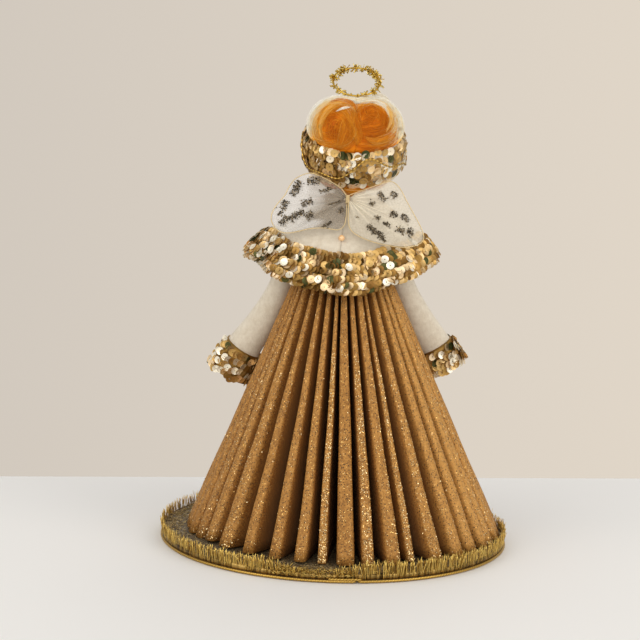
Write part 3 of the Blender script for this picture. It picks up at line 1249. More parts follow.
def cuff_style(turn):
    """The discs of a cuff are evenly spaced and a little paler than those of the cape."""
    return SEQUIN_SPACING + 0 * turn, SEQUIN_TILT + 0 * turn, CUFF_PALER + 0 * turn


# %% Both sleeves
cuff_rng = np.random.default_rng(17)

for label, sleeve, phase in (("left", LEFT_SLEEVE, 0.7), ("right", RIGHT_SLEEVE, 2.6)):
    rows, arm = sleeve_rows(**sleeve), label + "_arm"
    cuff_share = CUFF_LENGTH / path_length(rows)

    def surface(turn, t, outside):
        """This sleeve's surface."""
        return sleeve_surface(rows, phase, turn, t, outside)

    def ring_grid(low, rings):
        """The turns and shares of rings from low down to the wrist."""
        return np.meshgrid(full_turn(SLEEVE_SIDES), np.linspace(low, 1, rings))

    turn, t = ring_grid(0, SLEEVE_RINGS)
    outer = surface(turn, t, 0.0)
    inner = surface(turn[OPEN_RINGS:], t[OPEN_RINGS:], -SLEEVE_WALL)
    rings = np.concatenate([outer, inner[::-1]])
    make_piece(label + "_felt_sleeve", (rings.reshape(-1, 3), tube_faces(len(rings), SLEEVE_SIDES)),
               ivory_felt, arm, "felt", label + "_sleeve")

    turn, t = ring_grid(1 - cuff_share, CUFF_RINGS)
    shell = [surface(turn, t, GAP + BACKING_THICKNESS), surface(turn, t, GAP)[::-1]]
    make_piece(label + "_cuff_backing", closed_rings(np.concatenate(shell)), trim_backing, arm, "sequin")
    strings = [sequin_string(lambda turn, t, out: surface(turn, t, GAP + 0.9 + out), share, cuff_rng,
                             cuff_style, 0.6, 0.006)
               for share in 1 - cuff_share * mix(0.86, 0.1, np.arange(CUFF_ROWS) / (CUFF_ROWS - 1))]
    sequin_piece(label + "_cuff_sequins", strings, arm, label + "_cuff_trim")

# %% [markdown]
# ## The head
# The head is a smooth ball with a plain painted face. The face is a calm one with closed eyes: the
# brow, lids, nose, lips and cheeks are soft swellings of the ball, and lashes, brows and lips are
# painted lines.

# %% Head
HEAD_RADIUS = 31.75
HEAD_CENTRE = np.array([6.8, 0.0, 290.8])
HEAD_FLAT_Z = -29.0
HEAD_ROWS, HEAD_COLUMNS = 150, 220
EYE_OUT, EYE_Z = 9.6, 0.6
NOSE_Z, LIP_Z = -6.0, -14.2
CHEEK_OUT, CHEEK_Z = 14, -9
SKIN, BLUSH, BLUSH_MOST = (0.76, 0.50, 0.36, 1), (0.74, 0.27, 0.20, 1), 0.55
# Each swelling: its middle (x, z), how wide and high it is, and how far it rises
MIDDLE_SWELLS = [
    (0, -1.0, 2.6, 6.0, 1.1), (0, NOSE_Z, 2.8, 2.6, 2.6), (0, LIP_Z + 1.0, 3.6, 1.1, 0.8),
    (0, LIP_Z - 1.2, 3.2, 1.2, 0.9), (0, LIP_Z - 4.8, 5.0, 2.0, -0.5), (0, LIP_Z - 8.4, 6.0, 3.6, 1.4)]
PAIRED_SWELLS = [
    (2.0, NOSE_Z - 0.6, 1.4, 1.3, 0.7), (13, CHEEK_Z, 6.5, 5.5, 1.0), (EYE_OUT, EYE_Z, 5.4, 2.6, 1.2),
    (EYE_OUT, EYE_Z + 5.6, 6.4, 1.7, 0.8), (5.2, EYE_Z - 1.0, 2.0, 3.2, -0.7)]
FACE_SWELLS = MIDDLE_SWELLS + [(side * x, *rest) for x, *rest in PAIRED_SWELLS for side in (-1, 1)]


def head_surface(directions):
    """Ball radius plus soft swellings. A swelling is a bell over (x, z) on the face side."""
    x, z = directions[..., 0] * HEAD_RADIUS, directions[..., 2] * HEAD_RADIUS
    swell = sum(rise * np.exp(-((x - middle_x) / wide) ** 2 - ((z - middle_z) / high) ** 2)
                for middle_x, middle_z, wide, high, rise in FACE_SWELLS)
    facing = np.clip(directions[..., 1] * 4, 0, 1)
    points = directions * (HEAD_RADIUS + swell * facing)[..., None]
    points[..., 2] = np.maximum(points[..., 2], HEAD_FLAT_Z)
    return points + HEAD_CENTRE


def on_face(x, z, lift):
    """Points of the face under flat places (x, z)."""
    directions = np.stack([x, np.sqrt(HEAD_RADIUS ** 2 - x ** 2 - z ** 2), z], -1) / HEAD_RADIUS
    return head_surface(directions) + directions * lift


def make_skin():
    """Warm matt skin with a little blush on the cheeks."""
    material, tree, shader = new_material("doll_skin", Roughness=0.5, Subsurface_Weight=0.08,
                                          Subsurface_Scale=0.004, Coat_Weight=0.15, Coat_Roughness=0.4)
    colour = blend_colours(tree, point_value(tree, "blush"), SKIN, BLUSH)
    tree.links.new(colour, shader.inputs["Base Color"])
    return material


directions = ball_grid(HEAD_ROWS, HEAD_COLUMNS)
x, y, z = np.moveaxis(directions * HEAD_RADIUS, -1, 0)
cheeks = np.exp(-((np.abs(x) - CHEEK_OUT) / 5.5) ** 2 - ((z - CHEEK_Z) / 4.5) ** 2) * (y > 0)
make_piece("doll_head", (head_surface(directions).reshape(-1, 3), tube_faces(HEAD_ROWS, HEAD_COLUMNS)),
           make_skin(), "figure", "doll_skin", "head", blush=cheeks * BLUSH_MOST)

# %% Painted lines of the face
STROKE_STEPS = 15
# Points from the eye's middle outward, and the shares of the lid where a lash grows
LID = [(-5.0, -0.6), (-2.6, -2.0), (0, -2.5), (2.8, -2.0), (5.2, -0.3)]
BROW = [(-5.4, 5.4), (-2, 7.2), (2, 7.6), (6.2, 5.8)]
LASH_SHARES = (0.3, 0.5, 0.68, 0.84, 0.97)
LASH_SWING = 2.4
# Points from the middle of the mouth
UPPER_LIP = [(-3.6, 0.1), (-1.4, 1.1), (0, 0.7), (1.4, 1.1), (3.6, 0.1)]
LOWER_LIP = [(-3.0, -0.5), (-1.2, -1.5), (1.2, -1.5), (3.0, -0.5)]


def painted_lines(name, lines, paint, colour):
    """Flat tapered strokes on the face. Each line is (x, z) points and a half width."""
    parts = []
    for places, half_width in lines:
        t = np.linspace(0, 1, STROKE_STEPS)
        path = on_face(*smooth_path(places, t).T, 0.02)
        taper = half_width * np.sin(np.pi * np.clip(t, 0.06, 0.94)) ** 0.6
        parts.append(bars(path[None], taper, sides=6, squeeze=0.35, up=unit(path - HEAD_CENTRE).mean(0)))
    material = new_material(paint, Base_Color=colour, Roughness=0.45)[0]
    make_piece(name, joined(parts), material, "figure", "doll_skin")


def by_the_eye(side, points):
    """Points round one eye."""
    return [(side * (EYE_OUT + out), EYE_Z + rise) for out, rise in points]


lash_lines = []
for side in (-1, 1):
    lid = by_the_eye(side, LID)
    lash_lines.append((lid, 0.42))
    for share in LASH_SHARES:
        x, z = smooth_path(lid, np.array([share]))[0]
        swing = side * (share - 0.35) * LASH_SWING
        lash_lines.append(([(x, z), (x + swing * 0.5, z - 1.0), (x + swing, z - 1.6)], 0.2))
brow_lines = [(by_the_eye(side, BROW), 0.5) for side in (-1, 1)]
lips = [([(x, LIP_Z + z) for x, z in lip], half) for lip, half in ((UPPER_LIP, 0.75), (LOWER_LIP, 0.85))]
painted_lines("face_lashes", lash_lines, "lash_brown", (0.07, 0.035, 0.02, 1))
painted_lines("face_brows", brow_lines, "brow_brown", (0.33, 0.17, 0.08, 1))
painted_lines("face_lips", lips, "lip_rose", (0.55, 0.13, 0.11, 1))

# %% [markdown]
# ## Hair
# The hair is carded fibre laid over the ball in two swept lobes with a parting. Under it lies a
# closed shape per side that keeps it dense, and over that run thousands of thin fibres. On each
# side the fibres circle about an axis that points out of the back of the head: they leave the
# parting, sweep outward and come down again. The fibre is pale where it is thin enough to let light
# through: on top of the head and round its upper edges. A few flat locks cross these swirls.

# %% Hair shape
HAIR_RADIUS = 36.0
LOBE_MIDDLE = np.array([13.0, -6.0, 11.5])
LOBE_RADII = np.array([24.0, 34.0, 26.0])
CROWN_MIDDLE = np.array([0.0, -4.0, 13.0])
CROWN_RADII = np.array([30.0, 32.0, 25.5])
LOWER_MIDDLE = np.array([0.0, -5.0, 2.0])
LOWER_RADII = np.array([33.5, 34.5, 22.0])
HAIR_JOIN = 0.9
PARTING_DEPTH, PARTING_HALF = 0.6, 1.4
BAND_TILT = math.radians(30)
BAND_UP = np.array([0, -math.sin(BAND_TILT), math.cos(BAND_TILT)])
BAND_HALF_HEIGHT = 13.0
FACE_AXIS_DROP = 13.0
FACE_OPENING = 21.0
FACE_SINK = 2.2


def ellipsoid_reach(directions, middle, radii):
    """How far a ray from the head's centre runs to an ellipsoid that holds that centre."""
    way, start = directions / radii, -middle / radii
    a = (way ** 2).sum(-1)
    b = (way * start).sum(-1)
    c = (start ** 2).sum(-1) - 1
    return (-b + np.sqrt(b ** 2 - a * c)) / a


def hair_reach(directions):
    """The largest of the two lobes, the crown, the lower fill and the ball, softly joined, with a
    shallow line at the parting."""
    lumps = [(LOBE_MIDDLE * [-1, 1, 1], LOBE_RADII), (LOBE_MIDDLE, LOBE_RADII), (CROWN_MIDDLE, CROWN_RADII),
             (LOWER_MIDDLE, LOWER_RADII)]
    total = sum(np.exp(ellipsoid_reach(directions, *lump) * HAIR_JOIN) for lump in lumps)
    reach = np.log(total + np.exp(HAIR_RADIUS * HAIR_JOIN)) / HAIR_JOIN - 0.8
    upper = np.clip(directions[..., 2] * 2.2 + 0.1, 0, 1)
    parting = np.exp(-(directions[..., 0] * HAIR_RADIUS / PARTING_HALF) ** 2)
    return reach - PARTING_DEPTH * parting * upper


def above_band(directions):
    """How far above the headband's upper edge, in millimetres."""
    return (directions @ BAND_UP) * HAIR_RADIUS - BAND_HALF_HEIGHT


def over_face(directions):
    """True where the hair opens for the face."""
    flat = np.hypot(directions[..., 0] * HAIR_RADIUS, directions[..., 2] * HAIR_RADIUS + FACE_AXIS_DROP)
    return (directions[..., 1] > 0) & (flat < FACE_OPENING)


# %% Colour and combing of the hair
HAIR_STOPS = [(0.0, (0.54, 0.12, 0.003, 1)), (0.22, (0.74, 0.215, 0.005, 1)),
              (0.42, (0.91, 0.40, 0.028, 1)), (0.62, (0.97, 0.66, 0.20, 1)),
              (0.82, (1.0, 0.88, 0.61, 1)), (1.0, (1.0, 0.975, 0.90, 1))]
PALE_REACH = 39.0
PALE_HALF_WIDTH, PALE_HEIGHT, PALE_LIFT = 36.5, 30.0, 8.0
PALE_ROUNDNESS = 2.6
PALE_RIGHT_WIDER = 1.13
PALE_FROM, PALE_OVER = 0.61, 0.26
FOREHEAD_SHARE = 0.52
COMB_LINES = 90
COMB_REACH = 2.6
SWIRL_AXES = {-1: unit(np.array([-17.0, -39.5, 12.8])), 1: unit(np.array([8.8, -36.3, 21.4]))}
fibre_hair = by_point("fibre_hair", "pale", HAIR_STOPS, Roughness=0.55, Specular_IOR_Level=0.10,
                      Sheen_Weight=0.06, Sheen_Roughness=0.4, Sheen_Tint=(1, 0.80, 0.5, 1))
comb_rng = np.random.default_rng(8)
comb_tones = comb_rng.normal(0, 1, (2, COMB_LINES))


def swirl_frame(side):
    """The axis of one side's swirl, and two ways square to it."""
    axis = SWIRL_AXES[side]
    helper = unit(np.cross(axis, [0, 0, 1.0]))
    return axis, helper, np.cross(axis, helper)


def comb(directions, side):
    """Combed bands: a random tone for each distance from the axis, which drifts a little round it."""
    axis, first, second = swirl_frame(side)
    away = np.arccos(np.clip(directions @ axis, -1, 1))
    turn = np.arctan2(directions @ second, directions @ first)
    place = away + 0.05 * np.sin(turn * 2 + 1.0) + 0.02 * np.sin(turn * 5)
    return np.interp(place, np.linspace(0, COMB_REACH, COMB_LINES), comb_tones[(side + 1) // 2])


def pale_field(directions):
    """0 at the back of the head and 1 on top and round the edges, where the fibre is thin. Toward
    the forehead the colour comes back."""
    x, y, z = np.moveaxis(directions * PALE_REACH, -1, 0)
    rise = np.maximum(z - PALE_LIFT, 0)
    wide = np.abs(x) * np.where(x > 0, PALE_RIGHT_WIDER, 1.0)
    ring = ((wide / PALE_HALF_WIDTH) ** PALE_ROUNDNESS
            + (rise / PALE_HEIGHT) ** PALE_ROUNDNESS) ** (1 / PALE_ROUNDNESS)
    upper = np.clip((z - 1.0) / 12.0, 0, 1)
    forehead = np.clip((y - 3.0) / 20.0, 0, 1)
    pale = np.clip((ring - PALE_FROM) / PALE_OVER, 0, 1) * mix(0.15, np.where(x > 0, 0.95, 1.02), upper)
    return pale * mix(1.0, FOREHEAD_SHARE, forehead)


# %% Dense shape under the fibres
HAIR_ROWS, HAIR_COLUMNS = 130, 150
HAIR_DOWN_SHARE = 0.83


def hair_base(side):
    """One side of the dense shape: from the parting plane round to the hairline."""
    rise = np.linspace(0.0, np.pi * HAIR_DOWN_SHARE, HAIR_ROWS)[:, None]
    turn = np.linspace(0, np.pi, HAIR_COLUMNS)[None]
    directions = np.stack([side * np.sin(rise) * np.sin(turn), -np.sin(rise) * np.cos(turn),
                           np.cos(rise) + 0 * turn], -1)
    tone = comb(directions, side)
    reach = hair_reach(directions) - 0.9 + 0.22 * np.clip(tone, -1.5, 1.5)
    reach = np.where(above_band(directions) < 0, HAIR_RADIUS - 0.6, reach)
    in_face = over_face(directions)
    under = np.where(in_face, HEAD_RADIUS - FACE_SINK, HEAD_RADIUS + GAP - 0.25)
    reach = np.where(in_face, under + 0.4, reach)
    points, faces = thick_sheet(directions * reach[..., None], directions * under[..., None])
    pale = np.clip(0.14 + 0.80 * pale_field(directions) + 0.08 * tone, 0, 1)
    return (points + HEAD_CENTRE, faces), np.tile(pale.ravel(), 2)


for side, label in ((-1, "left"), (1, "right")):
    shape, pale = hair_base(side)
    make_piece("hair_mass_" + label, shape, fibre_hair, "figure", "fibre_hair", "hair_" + label, pale=pale)

# %% Fibres of the hair
FIBRE_COUNT = 3600
LOOSE_COUNT = 900
FIBRE_STEPS = 11
SWIRL_REACH = 2.3
hair_rng = np.random.default_rng(41)


def thinned(steps, low=0.12):
    """The thickness along a fibre: full in the middle, thin at its ends."""
    return np.sin(np.pi * np.linspace(low, 1 - low, steps))


def arched(t, low):
    """How a fibre lifts: from near 0 at its ends to 1 in the middle."""
    return np.sin(np.pi * np.clip(t, low, 1 - low)) ** 0.5


def fibre_paths(side, count, low, high):
    """Arcs about the lobe's axis, lying from low to high above the dense shape. Each keeps its
    distance from the axis but for a slow drift."""
    axis, first, second = swirl_frame(side)
    away = np.arccos(1 - hair_rng.uniform(0, 1, count) * (1 - np.cos(SWIRL_REACH)))
    drift = hair_rng.normal(0, 0.10, count)
    start = hair_rng.uniform(0, 2 * np.pi, count)
    sweep = hair_rng.uniform(0.5, 1.5, count) * np.where(away < 0.5, 1.6, 1.0)
    t = np.linspace(0, 1, FIBRE_STEPS)
    tilt = (away[:, None] + drift[:, None] * t + 0.03 * np.sin(t * 5 + start[:, None] * 3))[..., None]
    turn = (start[:, None] + sweep[:, None] * t)[..., None]
    directions = np.cos(tilt) * axis + np.sin(tilt) * (np.cos(turn) * first + np.sin(turn) * second)
    own_side = side * directions[..., 0] * HAIR_RADIUS > -1.5
    clear = above_band(directions) > 0.6
    directions = directions[(own_side & clear & ~over_face(directions)).all(-1)]
    height = hair_rng.uniform(low, high, len(directions))[:, None] * arched(t, 0.04)
    reach = hair_reach(directions) + height - 0.5
    return directions * reach[..., None] + HEAD_CENTRE, directions


def fibre_piece(name, side, count, low, high, width, paler):
    """Many fibres of one side as one mesh, each with its own tone round the tone of its band."""
    paths, directions = fibre_paths(side, count * 2, low, high)
    paths, middle = paths[:count], directions[:count, FIBRE_STEPS // 2]
    pale = (0.17 + 0.78 * pale_field(middle) + 0.09 * comb(middle, side)
            + hair_rng.normal(paler, 0.08, len(paths)))
    make_piece(name, bars(paths, width * thinned(FIBRE_STEPS)), fibre_hair, "figure", "fibre_hair",
               pale=np.repeat(np.clip(pale, 0, 1), FIBRE_STEPS * 3))


for side, label in ((-1, "left"), (1, "right")):
    fibre_piece("hair_fibres_" + label, side, FIBRE_COUNT, -0.35, 0.45, 0.12, 0.02)
    fibre_piece("hair_loose_" + label, side, LOOSE_COUNT, 0.3, 1.9, 0.07, 0.16)

# %% Locks that cross the swirls
LOCK_STEPS = 16
LOCK_REACH = 41.0
LOCK_WIDTH = 0.10
# Each lock: its guide as (x, z) points at the back of the head, how many fibres it has, how far they
# spread, and how pale they are
LOCKS = {"sweep": ([(-3, 32), (5, 32.5), (13, 31), (19, 26), (22, 18)], 190, 1.0, 0.95),
         "crown": ([(-22, 31), (-13, 35), (-4, 35.5), (4, 33)], 120, 0.9, 0.9),
         "left": ([(-3, 31), (-11, 29), (-19, 22), (-24, 12), (-24, 2)], 110, 1.2, 0.42),
         "edge": ([(18, 31), (26, 25), (31, 15), (31, 6)], 140, 1.3, 0.80),
         "arc": ([(15, 31), (20, 26), (22.5, 18), (20, 9)], 90, 0.8, 0.58),
         "streak": ([(-13.5, 21.5), (-9, 25), (-4.5, 27.5)], 60, 0.4, 1.0),
         "dark": ([(-18, 28), (-12, 31.5), (-6, 31.5), (-1, 29.5)], 150, 1.1, 0.22),
         "low": ([(-2, 28), (-1, 18), (2, 8), (1, 0)], 90, 1.4, 0.26),
         "fall": ([(-7, 18), (-9, 8), (-13, -3)], 130, 2.6, 0.24),
         "wave": ([(6, 6), (14, 3), (22, 6), (28, 8)], 110, 1.6, 0.34)}


def lock(name, guide, count, spread, pale):
    """A flat bundle of fibres. Each fibre keeps its own small distance from the guide."""
    t = np.linspace(0, 1, LOCK_STEPS)
    away = hair_rng.normal(0, spread, (count, 1, 2)) * (0.35 + 0.65 * np.sin(np.pi * t))[None, :, None]
    cut = hair_rng.uniform(0, 0.2, (count, 1))
    shown = smooth_path(guide, np.clip(cut + t[None] * (1 - cut * 1.5), 0, 1)) + away
    outward = np.maximum(1 - (shown ** 2).sum(-1) / LOCK_REACH ** 2, 0.02)
    directions = unit(np.stack([shown[..., 0], -LOCK_REACH * np.sqrt(outward), shown[..., 1]], -1))
    height = hair_rng.uniform(0.0, 0.7, (count, 1)) * arched(t, 0.06)
    paths = directions * (hair_reach(directions) + height - 0.3)[..., None] + HEAD_CENTRE
    shade = np.clip(pale + hair_rng.normal(0, 0.1, count), 0, 1)
    make_piece(name, bars(paths, LOCK_WIDTH * thinned(LOCK_STEPS)), fibre_hair, "figure", "fibre_hair",
               pale=np.repeat(shade, LOCK_STEPS * 3))


for label, row in LOCKS.items():
    lock("hair_lock_" + label, *row)

# %% Curl on top and tuft at the nape
TUFT_ROWS, TUFT_COLUMNS = 14, 20
TUFT_WIDTH = 0.12
CORE_SHARE = 0.72


def tuft(name, middle, radii, count, turns, pale, node):
    """A small closed core, with loose turns of fibre wound round an ellipsoid over it."""
    place = np.array(middle) + HEAD_CENTRE
    core = ball_grid(TUFT_ROWS, TUFT_COLUMNS).reshape(-1, 3) * radii * CORE_SHARE + place
    start = hair_rng.uniform(0, 2 * np.pi, count)[:, None]
    lean = hair_rng.normal(0, 0.5, count)[:, None]
    size = hair_rng.uniform(0.7, 1.0, count)[:, None]
    turn = start + turns * 2 * np.pi * np.linspace(0, 1, FIBRE_STEPS)[None]
    x = np.cos(turn) * size
    y = np.sin(turn) * size * np.cos(lean)
    z = np.sin(turn) * np.sin(lean) * size + hair_rng.uniform(-0.5, 0.5, count)[:, None] * (1 - size * 0.5)
    wound = bars(np.stack([x, y, z], -1) * radii + place, TUFT_WIDTH * thinned(FIBRE_STEPS, 0.1))
    shade = np.clip(pale + hair_rng.normal(0, 0.15, count), 0, 1)
    values = np.concatenate([np.full(len(core), pale * 0.9), np.repeat(shade, FIBRE_STEPS * 3)])
    make_piece(name, joined([(core, tube_faces(TUFT_ROWS, TUFT_COLUMNS)), wound]), fibre_hair, "figure",
               "fibre_hair", node, pale=values)


tuft("hair_curl_fibres", (16.5, 5.0, 34.5), (8.0, 7.0, 6.5), 420, 0.7, 0.92, "hair_curl")
tuft("hair_nape_fibres", (0.0, -20.0, -30.5), (9.0, 4.5, 5.0), 260, 0.4, 0.42, "hair_nape")

# %% [markdown]
# ## Headband
# A strip of sequined trim runs round the head, low at the back and high at the front, with a thin
# braid that wanders over it.

# %% Headband
BAND_INNER, BAND_OUTER = 36.3, 38.5
BAND_ROWS = 6
BAND_SIDES, BAND_RINGS = 120, 9
BAND_SHARE = 0.97
BAND_BROWN = (0.11, 0.055, 0.014, 1)
BAND_SPACING, BAND_DISC_TILT = 3.3, 0.35
BRAID_RADIUS = 0.6
BRAID_STEPS, BRAID_PLIES = 361, 90
BAND_SPOTS = [(1.4, 0.86, 1.0), (-9, 0.86, 0.02), (-4.5, 0.84, 0.03), (7.5, 0.95, 0.0), (11, 0.2, 0.75),
              (15.5, 0.0, 0.8), (16, -0.5, 0.85), (21.5, -0.3, 1.0), (17.5, -0.7, 0.92), (9, -0.35, 0.1),
              (0.7, -0.62, 0.0), (-4.5, 0.2, 1.0), (-23, 0.88, 0.93), (-29, 0.95, 0.7), (-33, 0.6, 0.8)]
band_rng = np.random.default_rng(9)


def band_surface(turn, rise, outside):
    """A zone of a ball about the band's tilted axis. rise runs from -1 at its lower edge to 1."""
    height = rise * BAND_HALF_HEIGHT
    radius = np.sqrt(np.maximum(BAND_INNER ** 2 - height ** 2, 1))
    ball = unit(around(radius, turn - np.pi / 2, height)) * np.asarray(BAND_INNER + outside)[..., None]
    c, s = math.cos(BAND_TILT), math.sin(BAND_TILT)
    return ball @ np.array([[1, 0, 0], [0, c, s], [0, -s, c]]) + HEAD_CENTRE


turn, rise = np.meshgrid(full_turn(BAND_SIDES), np.linspace(-BAND_SHARE, BAND_SHARE, BAND_RINGS))
shell = [band_surface(turn, rise, BACKING_THICKNESS), band_surface(turn, rise, 0.0)[::-1]]
band_strip = tinted("band_strip", BAND_BROWN, FELT_IVORY, 0.8, Metallic=0.0)
make_piece("headband_backing", closed_rings(np.concatenate(shell)), band_strip, "figure", "sequin",
           tint=np.tile(np.clip(np.sin(turn) * 2 + 0.5, 0, 1).ravel(), 2))


def band_style(turn):
    """Dense stacks seen edge-on at the left of the back, and wide flat pale discs at its right."""
    right = np.clip(np.sin(turn + 0.12) * 2.4, -1, 1) * (np.cos(turn) > -0.35)
    spacing = BAND_SPACING + np.where(right > 0, 2.0, 0.3) * right
    tilt = BAND_DISC_TILT + np.where(right > 0, -0.25, 0.35) * right
    return spacing, tilt, np.where(right > 0, 0.24, 0.10) * right


strings = [sequin_string(lambda turn, rise, out: band_surface(turn, rise, 0.8 + out), rise, band_rng,
                         band_style, 0.1, 0.06)
           for rise in mix(-0.84, 0.84, np.arange(BAND_ROWS) / (BAND_ROWS - 1))]
strings.append(placed_sequins(band_surface, BAND_SPOTS, BAND_INNER, band_rng))
sequin_piece("headband_sequins", strings, "figure", "headband")

turn = np.linspace(0, 2 * np.pi, BRAID_STEPS)
wander = 0.55 * np.sin(3 * turn + 0.5) + 0.2 * np.sin(7 * turn)
path = band_surface(turn, wander, BAND_OUTER - BAND_INNER + 1.3)
plies = np.cos(turn * BRAID_PLIES)
make_piece("headband_cord", bars(path[None], BRAID_RADIUS * (1 + 0.2 * plies), sides=6), cord_material,
           "figure", "gold_cord", "headband_braid", tint=np.repeat(0.5 + 0.5 * plies, 6))

# %% [markdown]
# ## Halo
# The halo is a loop of tinsel garland: short strips of gold foil twisted into a wire. Each strip is
# a narrow ribbon that leaves the wire in its own direction and curls. Strips by the stem are shorter.

# %% Halo
HALO_RADIUS = 17.2
HALO_TILT = math.radians(42.3)
HALO_NEAR = np.array([6.8, -11.7, 327.9])
HALO_WIRE_RADIUS = 0.7
WIRE_STEPS, WIRE_SIDES = 96, 6
TINSEL_TUFTS, STRIPS_PER_TUFT = 58, 7
TINSEL_COUNT = TINSEL_TUFTS * STRIPS_PER_TUFT
TINSEL_STEPS = 6
TINSEL_HALF_WIDTH = 0.58
STEM_SHORTER, STEM_REACH = 0.45, 0.06
halo_rng = np.random.default_rng(77)
ring_ahead = np.array([0, math.cos(HALO_TILT), math.sin(HALO_TILT)])
ring_side = np.array([1.0, 0, 0])
ring_up = np.cross(ring_side, ring_ahead)
ring_middle = HALO_NEAR + ring_ahead * HALO_RADIUS


def ring_out(turn):
    """The way from the middle of the halo outward at a turn."""
    return np.cos(turn)[:, None] * ring_side + np.sin(turn)[:, None] * ring_ahead


def random_share(low, high):
    """A random number for each strip."""
    return halo_rng.uniform(low, high, TINSEL_COUNT)


tuft_turn = halo_rng.uniform(0, 2 * np.pi, TINSEL_TUFTS)
turn = np.repeat(tuft_turn, STRIPS_PER_TUFT) + halo_rng.normal(0, 0.035, TINSEL_COUNT)
out = ring_out(turn)
roll = random_share(0, 2 * np.pi)[:, None]
leave = np.cos(roll) * out + np.sin(roll) * ring_up
along = np.cross(ring_up, out)
curl_way = unit(along * halo_rng.normal(0, 1, (TINSEL_COUNT, 1))
                + np.cross(leave, along) * halo_rng.normal(0, 0.7, (TINSEL_COUNT, 1)))
t = np.linspace(0, 1, TINSEL_STEPS)[None, :, None]
beside_stem = np.exp(-((1 + np.sin(turn)) / STEM_REACH) ** 2)
reach = (random_share(2.6, 4.6) * (1 - STEM_SHORTER * beside_stem))[:, None, None]
bend = random_share(0.6, 2.2)[:, None, None]
paths = ((ring_middle + HALO_RADIUS * out)[:, None] + leave[:, None] * reach * np.sin(bend * t) / bend
         + curl_way[:, None] * reach * (1 - np.cos(bend * t)) / bend)
shape = bars(paths, TINSEL_HALF_WIDTH, sides=4, squeeze=0.12, up=np.cross(leave, curl_way))
tinsel_material = tinted("tinsel_gold", (0.62, 0.38, 0.045, 1), (1.0, 0.84, 0.34, 1), 0.26)
make_piece("halo_tinsel", shape, tinsel_material, "halo", "tinsel", "halo_ring",
           tint=np.repeat(random_share(0, 1), TINSEL_STEPS * 4))

out = ring_out(full_turn(WIRE_STEPS))[:, None]
roll = full_turn(WIRE_SIDES)[None, :, None]
wire = ring_middle + HALO_RADIUS * out + HALO_WIRE_RADIUS * (np.cos(roll) * out + np.sin(roll) * ring_up)
make_piece("halo_wire", closed_rings(wire), tinsel_material, "halo", "tinsel",
           tint=np.full(WIRE_STEPS * WIRE_SIDES, 0.1))

# %% [markdown]
# ## Wings
# Each wing is a loop of thin wire covered with fine net. The net is gathered where the wings are
# tied, so folds fan out from there and fade toward the rim, and near the tie the net is greyer.
# Loose glitter clings to short dabs of glue, each at its own place and lean.

# %% Wing sizes
WING_TIE = np.array([2.5, -35.0, 252.0])
WING_LEAN = 0.45
WING_SPAN = 56.0
WING_BOW = 8.0
NET_INSET = 0.6
NET_ROOT = np.array([0.4, 0.6])
NET_GREY = (0.25, 0.195, 0.13, 1)
NET_RAYS, NET_RINGS = 220, 40
NET_HALF = 0.08
WIRE_RADIUS = 0.33
RIM_POINTS = 260
FLAKES_PER_SQUARE = 3.9
FEWEST_FLAKES = 8
DAB_GROWTH = (1.35, 1.45)
GLITTER_LIFT, GLITTER_TILT = 0.9, 0.5
# Outlines as shares of the span, out and up from the tie
LEFT_RIM = [
    (0.010, 0.05), (0.09, 0.16), (0.22, 0.25), (0.37, 0.33), (0.50, 0.37), (0.66, 0.31), (0.75, 0.20),
    (0.81, 0.07), (0.92, -0.07), (0.97, -0.20), (0.94, -0.33), (0.85, -0.43), (0.74, -0.46), (0.60, -0.44),
    (0.47, -0.41), (0.29, -0.40), (0.12, -0.42), (0.04, -0.36), (0.014, -0.22), (0.010, -0.05)]
RIGHT_RIM = [
    (0.02, 0.06), (0.20, 0.14), (0.38, 0.22), (0.53, 0.28), (0.62, 0.25), (0.69, 0.16), (0.75, 0.04),
    (0.84, -0.12), (0.94, -0.30), (0.98, -0.42), (0.95, -0.51), (0.85, -0.58), (0.69, -0.62), (0.51, -0.61),
    (0.31, -0.57), (0.14, -0.50), (0.04, -0.41), (0.012, -0.28), (0.010, -0.13), (0.012, 0.0)]
# Each dab of glue: out, up, length, width in millimetres, and its lean in degrees
LEFT_DABS = [
    (36, 12, 4.6, 2.8, -60), (38, 6, 5.1, 2.8, -50), (25, 14, 6.5, 3.1, 0), (16, 7, 6.5, 1.5, -20),
    (45, -4, 5.1, 2.8, -70), (29, -3, 5.6, 2.8, -25), (36, -12.5, 8.8, 2.8, -35), (45, -16, 5.6, 2.8, -55),
    (27, -13, 4.6, 2.8, -35), (48, -10, 3.1, 1.4, -30), (5, -9, 3.7, 2.4, -30), (9, -3, 7.4, 0.6, -18),
    (14, -20, 5.6, 1.5, -32)]
RIGHT_DABS = [
    (24.5, 3, 5.6, 2.2, -50), (33, 5, 3.9, 2.4, -60), (17, -2.5, 3.3, 1.7, -20), (33, -10, 3.5, 2.6, -20),
    (41, -12, 5.2, 2.2, -40), (21, -14, 2.8, 1.9, -40), (28, -18.5, 4.1, 1.5, -20),
    (38, -22, 4.1, 2.8, -20), (45, -22.5, 3.5, 3.5, 0), (20, -24.5, 10.6, 2.4, -37),
    (25.5, -30, 3.1, 1.9, -37), (7.5, -14, 1.7, 0.7, -20)]
